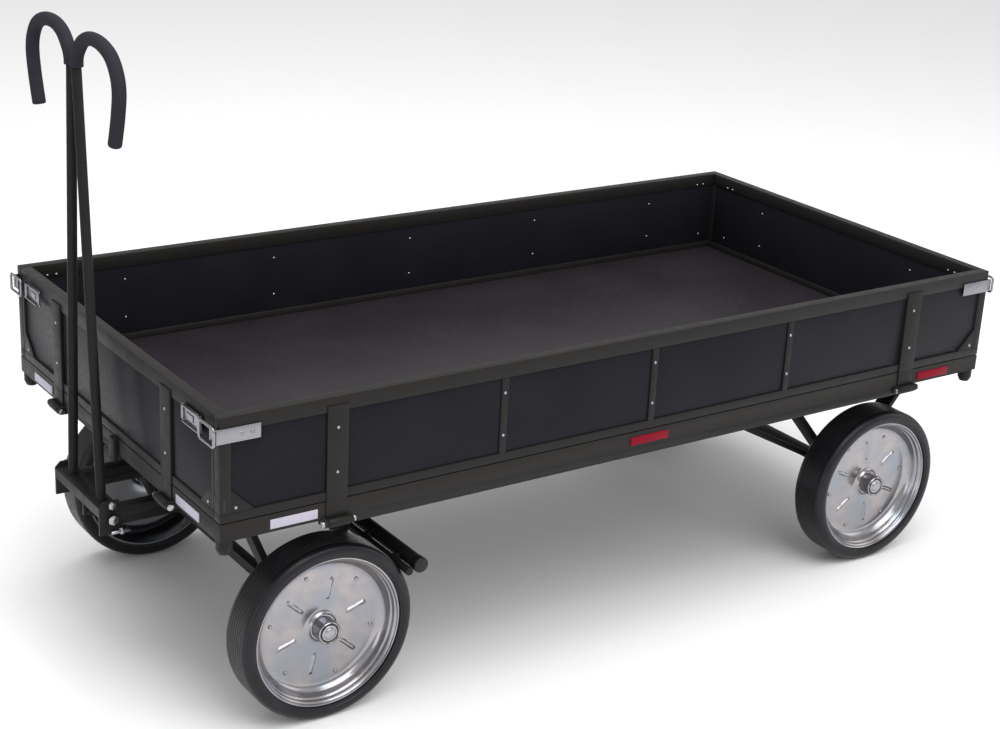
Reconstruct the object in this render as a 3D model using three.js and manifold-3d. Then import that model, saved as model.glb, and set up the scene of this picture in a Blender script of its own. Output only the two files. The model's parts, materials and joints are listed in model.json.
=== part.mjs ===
// Drop-side platform hand truck: a steel-framed plywood deck with four hinged sides, fixed rear
// wheels, a turntable-steered front axle and an upright drawbar with two hooked handles that works
// a parking brake on the front wheels. Millimetres, +Z up, front towards -X, left side towards -Y.
// The sizes below are given about the middle of the deck; the last lines move the whole truck so
// that its origin is the middle of its box, on the ground.
import * as THREE from "three";
import { mergeVertices } from "three/addons/utils/BufferGeometryUtils.js";
import Module from "manifold-3d";

const wasm = await Module();
wasm.setup();

// ---- Driving dimensions ----------------------------------------------------------------------
const gap = 0.3; // between pieces that touch
const runningGap = 0.5; // between pieces that turn against each other

const deckLength = 2100;
const deckWidth = 1050;
const deckTop = 526; // top of the perimeter rails
const railHeight = 38;
const railWidth = 30;
const sillDepth = 20; // extra depth of the long rails between the hinge straps
const floorRise = 7; // how far the floor board stands above the rails
const floorThickness = 12;
const crossWidth = 40;
const crossSpacing = 397.5;
const cornerPostSize = 34;
const cornerPostDrop = 31;

const restOffset = -27; // the drawbar's rest bracket, from the middle of the front rail
const restWidth = 26;
const restThickness = 10;
const restHeight = 52;

const sideHeight = 220;
const sideLift = 2; // slit between the rails and the sides
const sideThickness = 25;
const topRailHeight = 32;
const bottomRailHeight = 19;
const stileLong = 24; // end stiles of the long sides
const stileShort = 10; // end stiles of the short sides, which stand between the long ones
const plateThickness = 3.3; // straps, strips and gussets
const gussetLeg = 50;
const strapWidth = 48;
const strapTopMargin = 18; // from the top edge of a side down to the strap's end
const stripWidth = 17;
const longStrapOffset = 795;
const shortStrapOffset = 286;
const endGap = 1; // between the end of a short side and the long side beside it

const hingePinRadius = 6;
const hingeBarrelRadius = 9.5;
const hingeAxisDrop = 43; // below the top of the rails
const hingeLugThickness = 8;
const hingeHeadRadius = 9;
const hingeHeadLength = 5;

const wheelRadius = 200;
const tyreWidth = 95;
const rimRadius = 170; // where the tyre sits
const wheelOuterFace = 486; // outer face of a tyre from the middle of the truck
const frontAxleInset = 271; // from the front end of the deck to the front axle
const rearAxleInset = 258; // from the rear end of the deck to the rear axle
const axleBar = 24; // square bar
const stubRadius = 12;
const hubBoreRadius = 12.6;
const hubRadius = 26;
const hubOuterReach = 43.5; // from the middle of a wheel to the outer end of its hub
const hubInnerReach = 56;
const stubEnd = 1; // how far an axle stub stands out of the hub
const rimThickness = 4;
const lipInset = 6; // the rim's edges lie just inside the tyre's faces
const dishDepth = 38; // from the rim's outer edge in to its web
const dishStep = 28; // how much smaller the web is than the rim

const legWidth = 45;
const legThickness = 14;
const legClearance = 28; // between the legs and the tyre beside them
const legTopRear = 235; // half spread of the rear legs at the sills
const legTopFront = 118; // half spread of the front legs at the bolster
const legFootRear = -13; // the rear legs cross inside their shoe
const legFootFront = 11;
const braceRadius = 7.5;
const braceReach = 488; // from the rear axle forward to the brace's foot on the deck

const ringRadius = 170; // turntable ring, middle of its section
const ringSection = 26;
const ringDrop = 22; // from the underside of the rails down to the turntable
const ringHeight = 20;
const bolsterHeight = 22.2; // between the fork arms and the turntable

const forkOuter = 116; // outer face of each fork arm from the middle
const forkWidth = 30;
const forkHeight = 38;

const drawbarStandOff = 52; // from the front end of the deck to the drawbar's pivot
const cheekThickness = 6;
const cheekBack = 16.5; // from the pivot to the cheeks' rear edge
const cheekBelow = 34; // from the pivot to the cheeks' lower edge
const cheekAbove = 41; // from the pivot to the cheeks' upper edge
const footPlate = 8; // the angle that joins the cheeks and carries the tubes
const footLeg = 22; // depth of the angle's front leg
const footPlateAbove = 28; // from the pivot to the top of the angle
const footReach = 20; // from the pivot to the angle's front leg
const lugDrop = 30; // from the pivot down to the brake rod's eye
const lugHalfWidth = 15;
const lugHalfThickness = 4;
const drawbarTubeRadius = 10.5;
const tubeForward = 4; // how far the tubes stand in front of the pivot
const tubeFootHalf = 77;
const gripRadius = 14;
const gripSpacing = 0.5; // from each grip to the middle between them, at the top of the tubes
const gripStartZ = 1316;
const pivotBoltRadius = 8;
const boltHeadRadius = 12;
const boltHeadLength = 8;

const brakeBarRadius = 16;
const brakeBarBehind = 32; // from the shoe rod back to the brake bar
const brakeBarAbove = 5; // from the shoe rod up to the brake bar
const brakeShaftRadius = 8;
const brakeShaftForward = 4; // how far the brake shaft lies in front of the shoe rod
const brakeShaftDrop = 29.5; // from the turntable down to the brake shaft
const brakeArm = 58; // from the brake shaft down to the rod's eye
const brakeArmY = 86; // middle of the arms that hold the brake bar
const brakeArmThickness = 8;
const brakeWebInsets = [66, 186]; // webs of the brake bar, from the bar's ends
const shoeRadius = 9;
const shoeClearance = 1; // between the released shoe rod and the tyre
const shoeAngle = 29.373; // above the horizontal through the front axle
const brakeRodRadius = 6;
const eyeRadius = 9;
const eyePinRadius = 4;

const keeperLength = 86;
const keeperHeight = 31;
const keeperDrop = 53; // from the top of the side down to the keeper's lower edge
const keeperPlate = 2.5;
const hookProud = 9;
const leverLength = 84;
const leverHeight = 36;
const leverThickness = 8;
const bailLength = 62;
const bailHeight = 44;
const bailBar = 6;
const bailProud = 11;

// ---- Values worked out from them -------------------------------------------------------------
const halfLength = deckLength / 2;
const halfWidth = deckWidth / 2;
const railBottom = deckTop - railHeight;
const sideBottom = deckTop + sideLift;
const sideTop = sideBottom + sideHeight;
const floorTop = deckTop + floorRise;
const hingeZ = deckTop - hingeAxisDrop;
const hingeProud = gap + hingeBarrelRadius;
const crossPositions = [-crossSpacing, 0, crossSpacing];
const keeperBottomZ = sideTop - keeperDrop;
const frontAxleX = frontAxleInset - halfLength;
const rearAxleX = halfLength - rearAxleInset;
const braceTopX = rearAxleX - braceReach;
const wheelMiddle = wheelOuterFace - tyreWidth / 2;
const legOuter = wheelOuterFace - tyreWidth - legClearance;
const legInner = legOuter - legWidth;
const forkMiddle = forkOuter - forkWidth / 2;
const sillHalf = longStrapOffset - strapWidth / 2;
const sillBottom = railBottom - sillDepth;
const ringTop = railBottom - ringDrop;
const ringBottom = ringTop - 2 * ringHeight - runningGap;
const forkTop = ringBottom - bolsterHeight - gap;
const forkBottom = forkTop - forkHeight;
const drawbarPivotX = -halfLength - drawbarStandOff;
const drawbarPivotZ = forkBottom + forkHeight / 2;
const footPlateTop = drawbarPivotZ + footPlateAbove;
const tubePlaneX = drawbarPivotX - tubeForward;
const shoeReach = wheelRadius + shoeRadius + shoeClearance;
const shoeX = frontAxleX + shoeReach * Math.cos(THREE.MathUtils.degToRad(shoeAngle));
const shoeZ = wheelRadius + shoeReach * Math.sin(THREE.MathUtils.degToRad(shoeAngle));
const brakeBarX = shoeX + brakeBarBehind;
const brakeBarZ = shoeZ + brakeBarAbove;
const brakePivotX = shoeX - brakeShaftForward;
const brakePivotZ = ringBottom - brakeShaftDrop;
const brakeBarHalf = wheelOuterFace;
const tubeTopHalf = gripRadius + gripSpacing;
const bearerBottom = sillBottom;
const shortLength = deckWidth - 2 * (sideThickness + endGap);
const latchFace = plateThickness + gap;

// ---- Finishes --------------------------------------------------------------------------------
const finish = (colour, roughness, metalness) =>
  new THREE.MeshStandardMaterial({ color: colour, roughness, metalness });
const blackSteel = finish(0x2b2a28, 0.5, 0.3);
const plywoodFilm = finish(0x26262c, 0.35, 0);
const zinc = finish(0xc9ccd0, 0.3, 0.9);
const rubber = finish(0x141416, 0.75, 0);
const foam = finish(0x1a1c22, 0.9, 0);

// ---- Shape helpers ---------------------------------------------------------------------------
// A closed geometry as a solid. Triangles that close up to a line at an axis are dropped.
function solid(geometry) {
  geometry.deleteAttribute("normal");
  geometry.deleteAttribute("uv");
  const merged = mergeVertices(geometry, 1e-4);
  const kept = [];
  const index = merged.index.array;
  for (let i = 0; i < index.length; i += 3) {
    const [a, b, c] = index.slice(i, i + 3);
    if (a !== b && b !== c && c !== a) kept.push(a, b, c);
  }
  const vertProperties = merged.attributes.position.array;
  return new wasm.Manifold(
    new wasm.Mesh({ numProp: 3, vertProperties, triVerts: new Uint32Array(kept) }),
  );
}

// A mesh's geometry from a solid.
function geometryOf(body) {
  const made = body.getMesh();
  const geometry = new THREE.BufferGeometry();
  geometry.setAttribute("position", new THREE.BufferAttribute(made.vertProperties, 3));
  geometry.setIndex(new THREE.BufferAttribute(made.triVerts, 1));
  geometry.computeVertexNormals();
  return geometry;
}

const join = (...bodies) => bodies.reduce((whole, body) => whole.add(body));
const cut = (body, ...tools) => tools.reduce((rest, tool) => rest.subtract(tool), body);

// A box between two corners.
function block(x0, x1, y0, y1, z0, z1) {
  const box = new THREE.BoxGeometry(x1 - x0, y1 - y0, z1 - z0);
  return solid(box.translate((x0 + x1) / 2, (y0 + y1) / 2, (z0 + z1) / 2));
}

// A round bar between two points.
function rod(from, to, radius, sides = 20) {
  const start = new THREE.Vector3(...from);
  const way = new THREE.Vector3(...to).sub(start);
  const bar = new THREE.CylinderGeometry(radius, radius, way.length(), sides);
  const turn = new THREE.Quaternion().setFromUnitVectors(
    new THREE.Vector3(0, 1, 0),
    way.clone().normalize(),
  );
  bar.applyQuaternion(turn).translate(...start.addScaledVector(way, 0.5).toArray());
  return solid(bar);
}

// A flat plate whose outline is given in X and Z, between two Y planes.
function plateXZ(outline, y0, y1) {
  const shape = new THREE.Shape(outline.map(([x, z]) => new THREE.Vector2(x, z)));
  const plate = new THREE.ExtrudeGeometry(shape, { depth: y1 - y0, bevelEnabled: false });
  return solid(plate.rotateX(Math.PI / 2).translate(0, y1, 0));
}

// A ring or turned piece about the Y axis, from an outline of [radius, y] that closes on itself.
function turned(outline, segments) {
  const closed = [...outline, outline[0]].map(([r, y]) => new THREE.Vector2(r, y));
  return solid(new THREE.LatheGeometry(closed, segments));
}

// A round tube or bar along a curve.
function alongCurve(curve, radius, steps, sides) {
  const circle = new THREE.Shape(
    Array.from({ length: sides }, (_, i) => {
      const angle = (2 * Math.PI * i) / sides;
      return new THREE.Vector2(radius * Math.cos(angle), radius * Math.sin(angle));
    }),
  );
  return solid(new THREE.ExtrudeGeometry(circle, { steps, extrudePath: curve }));
}

function place(group, name, body, material) {
  const mesh = new THREE.Mesh(geometryOf(body), material);
  mesh.name = name;
  group.add(mesh);
}

const truck = new THREE.Group();

// ---- Deck frame and floor --------------------------------------------------------------------
// Hinge places, each in the frame of its side: the side's outward normal is -Y.
const sides = [
  { name: "left_side", length: deckLength, out: halfWidth, turn: 0 },
  { name: "right_side", length: deckLength, out: halfWidth, turn: Math.PI },
  { name: "front_side", length: shortLength, out: halfLength, turn: -Math.PI / 2 },
  { name: "rear_side", length: shortLength, out: halfLength, turn: Math.PI / 2 },
];
for (const side of sides) {
  side.long = side.length === deckLength;
  side.strapXs = side.long
    ? [-longStrapOffset, longStrapOffset]
    : [-shortStrapOffset, shortStrapOffset];
}

// The two lugs of one hinge, which reach out from the rail under the strap's barrel.
function hingeLugs(side, x) {
  const inner = strapWidth / 2 + runningGap;
  const lug = (from) => {
    const tab = block(from, from + hingeLugThickness, -side.out - hingeProud,
      -side.out + railWidth / 2, hingeZ - hingeBarrelRadius + 1, railBottom + 4);
    const nose = rod([from, -side.out - hingeProud, hingeZ],
      [from + hingeLugThickness, -side.out - hingeProud, hingeZ], hingeBarrelRadius - 1, 10);
    return join(tab, nose);
  };
  const bore = rod([x - strapWidth, -side.out - hingeProud, hingeZ],
    [x + strapWidth, -side.out - hingeProud, hingeZ], hingePinRadius + gap, 10);
  return cut(join(lug(x + inner), lug(x - inner - hingeLugThickness)), bore);
}

// A body turned about Z from its side's own frame into the truck's frame.
const turnOut = (body, turn) => body.rotate([0, 0, THREE.MathUtils.radToDeg(turn)]);

function deckFrame() {
  const outer = block(-halfLength, halfLength, -halfWidth, halfWidth, railBottom, deckTop);
  const inner = block(-halfLength + railWidth, halfLength - railWidth, -halfWidth + railWidth,
    halfWidth - railWidth, railBottom - 1, deckTop + 1);
  let frame = cut(outer, inner);
  const crossTop = floorTop - floorThickness - gap;
  const crossReach = halfWidth - railWidth / 2;
  const rearBearers = [rearAxleX - legTopRear, rearAxleX + legTopRear, braceTopX];
  const bearers = [frontAxleX - ringRadius, frontAxleX + ringRadius, ...rearBearers];
  for (const x of [...crossPositions, ...bearers]) {
    frame = frame.add(block(x - crossWidth / 2, x + crossWidth / 2, -crossReach, crossReach,
      railBottom, crossTop));
  }
  for (const x of rearBearers) {
    const to = Math.min(x + crossWidth / 2, halfLength - 1);
    frame = frame.add(block(x - crossWidth / 2, to, -legOuter, legOuter, bearerBottom,
      railBottom + 1));
  }
  for (const way of [-1, 1]) {
    const middle = way * (halfWidth - railWidth / 2);
    frame = frame.add(block(-sillHalf, sillHalf, middle - railWidth / 2 + 1,
      middle + railWidth / 2 - 1, sillBottom, railBottom + 1));
    for (const end of [-1, 1]) {
      const x = end * (halfLength - cornerPostSize / 2);
      const y = way * (halfWidth - cornerPostSize / 2);
      const radius = cornerPostSize / 2;
      const post = turned([[0, 0], [radius * 0.7, 0], [radius, radius * 0.6],
        [radius, railHeight + cornerPostDrop - 1], [0, railHeight + cornerPostDrop - 1]], 16);
      frame = frame.add(post.rotate([90, 0, 0]).translate([x, y, railBottom - cornerPostDrop]));
    }
  }
  for (const side of sides) {
    for (const x of side.strapXs) frame = frame.add(turnOut(hingeLugs(side, x), side.turn));
  }
  return frame;
}

function floorBoard() {
  const x = halfLength - railWidth - gap;
  const y = halfWidth - railWidth - gap;
  return block(-x, x, -y, y, floorTop - floorThickness, floorTop);
}

// The bracket on the front rail that the upright drawbar comes to rest behind.
function drawbarRest() {
  const face = -halfLength - gap;
  const side = restOffset - restWidth / 2;
  return block(face - restThickness, face, side, side + restWidth, deckTop - restHeight,
    deckTop - 1);
}

place(truck, "deck_frame", deckFrame(), blackSteel);
place(truck, "floor_board", floorBoard(), plywoodFilm);
place(truck, "drawbar_rest", drawbarRest(), blackSteel);

// ---- Sides, hinge pins, latches and keepers --------------------------------------------------
function sideFrame(side) {
  const half = side.length / 2;
  const stile = side.long ? stileLong : stileShort;
  const face = -side.out;
  const openBottom = sideBottom + bottomRailHeight;
  const openTop = sideTop - topRailHeight;
  let frame = cut(
    block(-half, half, face, face + sideThickness, sideBottom, sideTop),
    block(-half + stile, half - stile, face - 1, face + sideThickness + 1, openBottom, openTop),
  );
  for (const way of [-1, 1]) {
    const corner = way * (half - stile + 1);
    const tip = way * (half - stile - gussetLeg);
    const outline = [[corner, openBottom - 1], [tip, openBottom - 1],
      [corner, openBottom + gussetLeg]];
    frame = frame.add(plateXZ(way > 0 ? outline.reverse() : outline, face, face + plateThickness));
  }
  if (side.long) {
    for (const x of crossPositions) {
      frame = frame.add(block(x - stripWidth / 2, x + stripWidth / 2, face, face + plateThickness,
        openBottom - 1, openTop + 1));
    }
  }
  for (const x of side.strapXs) frame = frame.add(strap(side, x));
  return frame;
}

// A wide strap from near the top of a side down to the barrel round its hinge pin.
function strap(side, x) {
  const from = x - strapWidth / 2;
  const to = x + strapWidth / 2;
  const face = -side.out;
  const axisY = face - hingeProud;
  const plate = join(
    block(from, to, face - gap - plateThickness, face + plateThickness, sideBottom,
      sideTop - strapTopMargin),
    block(from, to, face - gap - plateThickness, face - gap, hingeZ, sideBottom + 1),
    rod([from, axisY, hingeZ], [to, axisY, hingeZ], hingeBarrelRadius, 12),
  );
  const boreRadius = hingePinRadius + gap;
  return cut(plate, rod([from - 1, axisY, hingeZ], [to + 1, axisY, hingeZ], boreRadius, 20));
}

function sideBoard(side) {
  const stile = side.long ? stileLong : stileShort;
  const half = side.length / 2 - stile - gap;
  const face = -side.out + plateThickness + gap;
  return block(-half, half, face, -side.out + sideThickness - plateThickness,
    sideBottom + bottomRailHeight + gap, sideTop - topRailHeight - gap);
}

function hingePin(side, x) {
  const axisY = -side.out - hingeProud;
  const reach = strapWidth / 2 + runningGap + hingeLugThickness + gap;
  const head = (from, to) => rod([from, axisY, hingeZ], [to, axisY, hingeZ], hingeHeadRadius, 10);
  return join(
    rod([x - reach - 1, axisY, hingeZ], [x + reach + 1, axisY, hingeZ], hingePinRadius, 10),
    head(x - reach - hingeHeadLength, x - reach),
    head(x + reach, x + reach + hingeHeadLength),
  );
}

// The plate near a corner of a long side. Its end is bent round the corner into a hook tab that
// stands off the face of the short side.
function keeper(side, way) {
  const face = -side.out - gap;
  const end = side.length / 2;
  const tabX = end + hookProud;
  const plate = block(end - keeperLength, end + hookProud, face - keeperPlate, face,
    keeperBottomZ, keeperBottomZ + keeperHeight);
  const rib = (z) => block(end - keeperLength + 8, end - 4, face - keeperPlate - 2.5,
    face - keeperPlate + 1, z - 3, z + 3);
  const wrap = block(tabX - keeperPlate, tabX, face - keeperPlate, face + sideThickness - gap,
    keeperBottomZ + 2, keeperBottomZ + keeperHeight - 4);
  const made = join(plate, wrap, rib(keeperBottomZ + 6), rib(keeperBottomZ + keeperHeight - 6));
  return way > 0 ? made : made.mirror([1, 0, 0]);
}

// The lever of a latch: a tray hinged near the corner, with its free end towards the middle.
function latchLever(side, way) {
  const face = -side.out - latchFace;
  const to = halfWidth - bailLength - 6;
  const from = to - leverLength;
  const middleZ = keeperBottomZ + keeperHeight / 2;
  const tray = block(from, to, face - leverThickness, face, middleZ - leverHeight / 2,
    middleZ + leverHeight / 2);
  const hollow = block(from + 6, to - 14, face - leverThickness - 1, face - leverThickness + 3,
    middleZ - leverHeight / 2 + 6, middleZ + leverHeight / 2 - 6);
  const made = cut(tray, hollow);
  return way > 0 ? made : made.mirror([1, 0, 0]);
}

// The bail: a rectangular wire frame that reaches from the lever round the keeper's hook.
function latchBail(side, way) {
  const face = -side.out - bailProud;
  const to = halfWidth + 7;
  const from = halfWidth - bailLength;
  const middleZ = keeperBottomZ + keeperHeight / 2;
  const low = middleZ - bailHeight / 2;
  const high = middleZ + bailHeight / 2;
  const made = cut(
    block(from, to, face - bailBar, face, low, high),
    block(from + bailBar, to - bailBar, face - bailBar - 1, face + 1, low + bailBar,
      high - bailBar),
  );
  return way > 0 ? made : made.mirror([1, 0, 0]);
}

for (const side of sides) {
  const group = new THREE.Group();
  group.rotation.z = side.turn;
  truck.add(group);
  place(group, `${side.name}_frame`, sideFrame(side), blackSteel);
  place(group, `${side.name}_board`, sideBoard(side), plywoodFilm);
  for (const way of [-1, 1]) {
    const strapX = way < 0 ? side.strapXs[0] : side.strapXs[1];
    const tag = way < 0 ? "a" : "b";
    place(group, `${side.name}_hinge_pin_${tag}`, hingePin(side, strapX), zinc);
    if (side.long) {
      place(group, `${side.name}_keeper_${tag}`, keeper(side, way), zinc);
    } else {
      place(group, `${side.name}_latch_lever_${tag}`, latchLever(side, way), zinc);
      place(group, `${side.name}_latch_bail_${tag}`, latchBail(side, way), zinc);
    }
  }
}

// ---- Axles and their legs --------------------------------------------------------------------
// A square axle bar with round stubs for the wheels, cut flat at the ends.
function axle(x) {
  const shoulder = wheelMiddle - hubInnerReach - 2;
  const half = axleBar / 2;
  const end = wheelMiddle + hubOuterReach + stubEnd;
  return join(
    block(x - half, x + half, -shoulder, shoulder, wheelRadius - half, wheelRadius + half),
    rod([x, -end, wheelRadius], [x, end, wheelRadius], stubRadius, 20),
  );
}

// A V of two flat legs that stands on the axle at one side, closed by a foot plate round the bar.
function legPair(x, way, topHalf, footHalf, topZ) {
  const y0 = way > 0 ? legInner : -legOuter;
  const y1 = y0 + legWidth;
  const footZ = wheelRadius - axleBar / 2 - legThickness;
  const leg = (lean) => {
    const rise = topZ - footZ;
    const run = topHalf - footHalf;
    const across = legThickness * Math.hypot(1, run / rise);
    const foot = x + lean * footHalf;
    const top = x + lean * topHalf;
    const outline = [[foot, footZ], [foot + lean * across, footZ], [top + lean * across, topZ],
      [top, topZ]];
    return plateXZ(lean > 0 ? outline : outline.reverse(), y0, y1);
  };
  const shoe = block(x - axleBar, x + axleBar, y0, y1, footZ, wheelRadius + axleBar / 2 + 10);
  const seat = axleBar / 2 + gap;
  const slot = block(x - seat, x + seat, y0 - 1, y1 + 1, wheelRadius - seat, wheelRadius + seat);
  return cut(join(leg(-1), leg(1), shoe), slot);
}

function rearLegs(way) {
  const topZ = bearerBottom - gap;
  const pair = legPair(rearAxleX, way, legTopRear, legFootRear, topZ);
  const y = way * ((legInner + legOuter) / 2);
  const footThickness = 12;
  const brace = rod([braceTopX, y, topZ - footThickness / 2 - braceRadius],
    [rearAxleX - 30, y, wheelRadius + 14], braceRadius, 12);
  const braceFoot = block(braceTopX - 20, braceTopX + 20, y - legWidth / 2, y + legWidth / 2,
    topZ - footThickness, topZ);
  return join(pair, brace, braceFoot);
}

place(truck, "rear_axle", axle(rearAxleX), blackSteel);
place(truck, "rear_legs_left", rearLegs(-1), blackSteel);
place(truck, "rear_legs_right", rearLegs(1), blackSteel);

// ---- Turntable and steered frame -------------------------------------------------------------
function flatRing(z0, z1) {
  const inside = ringRadius - ringSection / 2;
  const outside = ringRadius + ringSection / 2;
  return turned([[inside, z0], [outside, z0], [outside, z1], [inside, z1]], 32)
    .rotate([90, 0, 0]).translate([frontAxleX, 0, 0]);
}

function upperTurntable() {
  const spacer = (way) => block(frontAxleX + way * ringRadius - crossWidth / 2,
    frontAxleX + way * ringRadius + crossWidth / 2, -crossWidth, crossWidth, ringTop - 2,
    railBottom - gap);
  return join(flatRing(ringTop - ringHeight, ringTop), spacer(-1), spacer(1));
}

// The lower ring, the two bolsters that lie on the fork arms, the front legs and the brake's lugs.
function steeringFrame() {
  let frame = flatRing(ringBottom, ringTop - ringHeight - runningGap);
  const bolsterBottom = forkTop + gap;
  for (const way of [-1, 1]) {
    const x = frontAxleX + way * (legTopFront + legThickness / 2);
    frame = frame.add(block(x - crossWidth / 2, x + crossWidth / 2, -legOuter, legOuter,
      bolsterBottom, ringBottom + 1));
    frame = frame.add(legPair(frontAxleX, way, legTopFront, legFootFront, ringBottom - 1));
    const lugY = way * (brakeArmY + brakeArmThickness / 2 + runningGap + brakeArmThickness / 2);
    const from = Math.min(lugY, lugY + way * brakeArmThickness);
    const lug = block(frontAxleX + legTopFront + crossWidth / 2, brakePivotX + 14, from,
      from + brakeArmThickness, brakePivotZ - 14, ringBottom - 1);
    frame = frame.add(lug);
  }
  return cut(frame, rod([brakePivotX, -legInner, brakePivotZ], [brakePivotX, legInner, brakePivotZ],
    brakeShaftRadius + gap, 16));
}

// A round bar along the drawbar's pivot axis.
const pivotRod = (from, to, radius, segments) =>
  rod([drawbarPivotX, from, drawbarPivotZ], [drawbarPivotX, to, drawbarPivotZ], radius, segments);

// One of the two fork arms, whose round noses carry the drawbar's pivot in front of the deck.
function forkArm(way) {
  const y0 = way * forkMiddle - forkWidth / 2;
  const y1 = y0 + forkWidth;
  const tail = frontAxleX + legTopFront - 10;
  const nose = pivotRod(y0, y1, forkHeight / 2, 24);
  const arm = join(block(drawbarPivotX, tail, y0, y1, forkBottom, forkTop), nose);
  return cut(arm, pivotRod(y0 - 1, y1 + 1, pivotBoltRadius + gap, 16));
}

const steered = new THREE.Group();
truck.add(steered);
place(truck, "turntable_ring", upperTurntable(), blackSteel);
place(steered, "steering_frame", steeringFrame(), blackSteel);
place(steered, "fork_arm_left", forkArm(-1), blackSteel);
place(steered, "fork_arm_right", forkArm(1), blackSteel);
place(steered, "front_axle", axle(frontAxleX), blackSteel);

// ---- Wheels ----------------------------------------------------------------------------------
const half = tyreWidth / 2;
const rimHalf = half - lipInset;
const wheelFacets = 40;
const facetTurn = 180 / wheelFacets; // turns a flat of the tyre to the ground

function tyre() {
  const inside = rimRadius + gap;
  return turned([[inside, -half + 3], [wheelRadius - 16, -half], [wheelRadius - 4, -half + 4],
    [wheelRadius, -half + 12], [wheelRadius, half - 12], [wheelRadius - 4, half - 4],
    [wheelRadius - 16, half], [inside, half - 3]], wheelFacets).rotate([0, facetTurn, 0]);
}

// The pressed wheel disc: a rolled edge, a sloping wall, a flat web and a band that carries the tyre.
function rim() {
  const t = rimThickness;
  const lipY = -rimHalf;
  const webY = lipY + dishDepth;
  const bandInside = rimRadius - t;
  const lipInside = bandInside - 3;
  const web = rimRadius - dishStep;
  const bore = hubRadius + gap;
  return turned([[rimRadius, lipY], [rimRadius, rimHalf], [bandInside, rimHalf],
    [bandInside, lipY + 8 + 1.5 * t], [web + t, webY + t], [bore, webY + t], [bore, webY],
    [web, webY], [lipInside - 2, lipY + 8], [lipInside, lipY]],
  wheelFacets).rotate([0, facetTurn, 0]);
}

function hub() {
  const outer = -hubOuterReach;
  return turned([[hubBoreRadius, outer], [hubRadius - 3, outer], [hubRadius, outer + 3],
    [hubRadius, hubInnerReach - 3], [hubRadius - 3, hubInnerReach],
    [hubBoreRadius, hubInnerReach]], 20);
}

for (const [corner, parent, x, way] of [
  ["front_left", steered, frontAxleX, -1],
  ["front_right", steered, frontAxleX, 1],
  ["rear_left", truck, rearAxleX, -1],
  ["rear_right", truck, rearAxleX, 1],
]) {
  const wheel = new THREE.Group();
  wheel.position.set(x, way * wheelMiddle, wheelRadius);
  if (way > 0) wheel.rotation.z = Math.PI;
  parent.add(wheel);
  place(wheel, `${corner}_tyre`, tyre(), rubber);
  place(wheel, `${corner}_rim`, rim(), zinc);
  place(wheel, `${corner}_hub`, hub(), zinc);
}

// ---- Drawbar ---------------------------------------------------------------------------------
// Centre line of one hooked handle, from the top of a drawbar tube over to the free end.
function hookCurve(way) {
  // Outwards and upwards from the top of the tube.
  const points = [[0, 1], [1, 18], [11.5, 36], [37.5, 59], [75.5, 71], [125.5, 70], [170.5, 55],
    [197.5, 26], [206.5, -8], [199.5, -51], [189.5, -86], [179.5, -116]];
  const along = points.map(([out, up]) =>
    new THREE.Vector3(tubePlaneX, way * (tubeTopHalf + out), gripStartZ + up));
  return new THREE.CatmullRomCurve3(along, false, "centripetal");
}

function drawbarFrame() {
  const cheekInner = forkOuter + 1;
  const cheekOuter = cheekInner + cheekThickness;
  const front = drawbarPivotX - footReach - footPlate;
  const back = drawbarPivotX + cheekBack;
  const bottom = drawbarPivotZ - cheekBelow;
  const top = drawbarPivotZ + cheekAbove;
  let frame = join(
    block(front, front + footPlate, -cheekOuter, cheekOuter, footPlateTop - footLeg, footPlateTop),
    block(front, back, -cheekOuter, cheekOuter, footPlateTop - footPlate + 1, footPlateTop),
  );
  const chamfer = 12;
  for (const way of [-1, 1]) {
    const y0 = way > 0 ? cheekInner : -cheekOuter;
    const cheek = plateXZ([[front, bottom], [back - chamfer, bottom], [back, bottom + chamfer],
      [back, top], [front + chamfer, top], [front, top - chamfer]], y0, y0 + cheekThickness);
    const tube = rod([tubePlaneX, way * tubeFootHalf, footPlateTop - 2],
      [tubePlaneX, way * (tubeTopHalf - 2), gripStartZ - gap], drawbarTubeRadius, 16);
    frame = join(frame, cheek, tube);
  }
  const weldHeight = 40; // the tubes are welded together over this height
  frame = frame.add(block(tubePlaneX - 5, tubePlaneX + 5, -tubeTopHalf, tubeTopHalf,
    gripStartZ - weldHeight, gripStartZ - 2));
  const lug = block(drawbarPivotX - lugHalfWidth, drawbarPivotX + lugHalfWidth, -lugHalfThickness,
    lugHalfThickness, drawbarPivotZ - lugDrop - lugHalfWidth / 2, footPlateTop - 1);
  const bolt = pivotRod(-cheekOuter - 1, cheekOuter + 1, pivotBoltRadius + gap, 16);
  return cut(join(frame, lug), bolt);
}

function pivotBolt() {
  const reach = forkOuter + 1 + cheekThickness + gap;
  return join(
    pivotRod(-reach - 1, reach + 1, pivotBoltRadius, 16),
    pivotRod(-reach - boltHeadLength, -reach, boltHeadRadius, 6),
    pivotRod(reach, reach + boltHeadLength, boltHeadRadius, 6),
  );
}

place(steered, "drawbar_pivot_bolt", pivotBolt(), zinc);
place(steered, "drawbar_frame", drawbarFrame(), blackSteel);
place(steered, "drawbar_grip_left", alongCurve(hookCurve(-1), gripRadius, 20, 10), foam);
place(steered, "drawbar_grip_right", alongCurve(hookCurve(1), gripRadius, 20, 10), foam);

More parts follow.
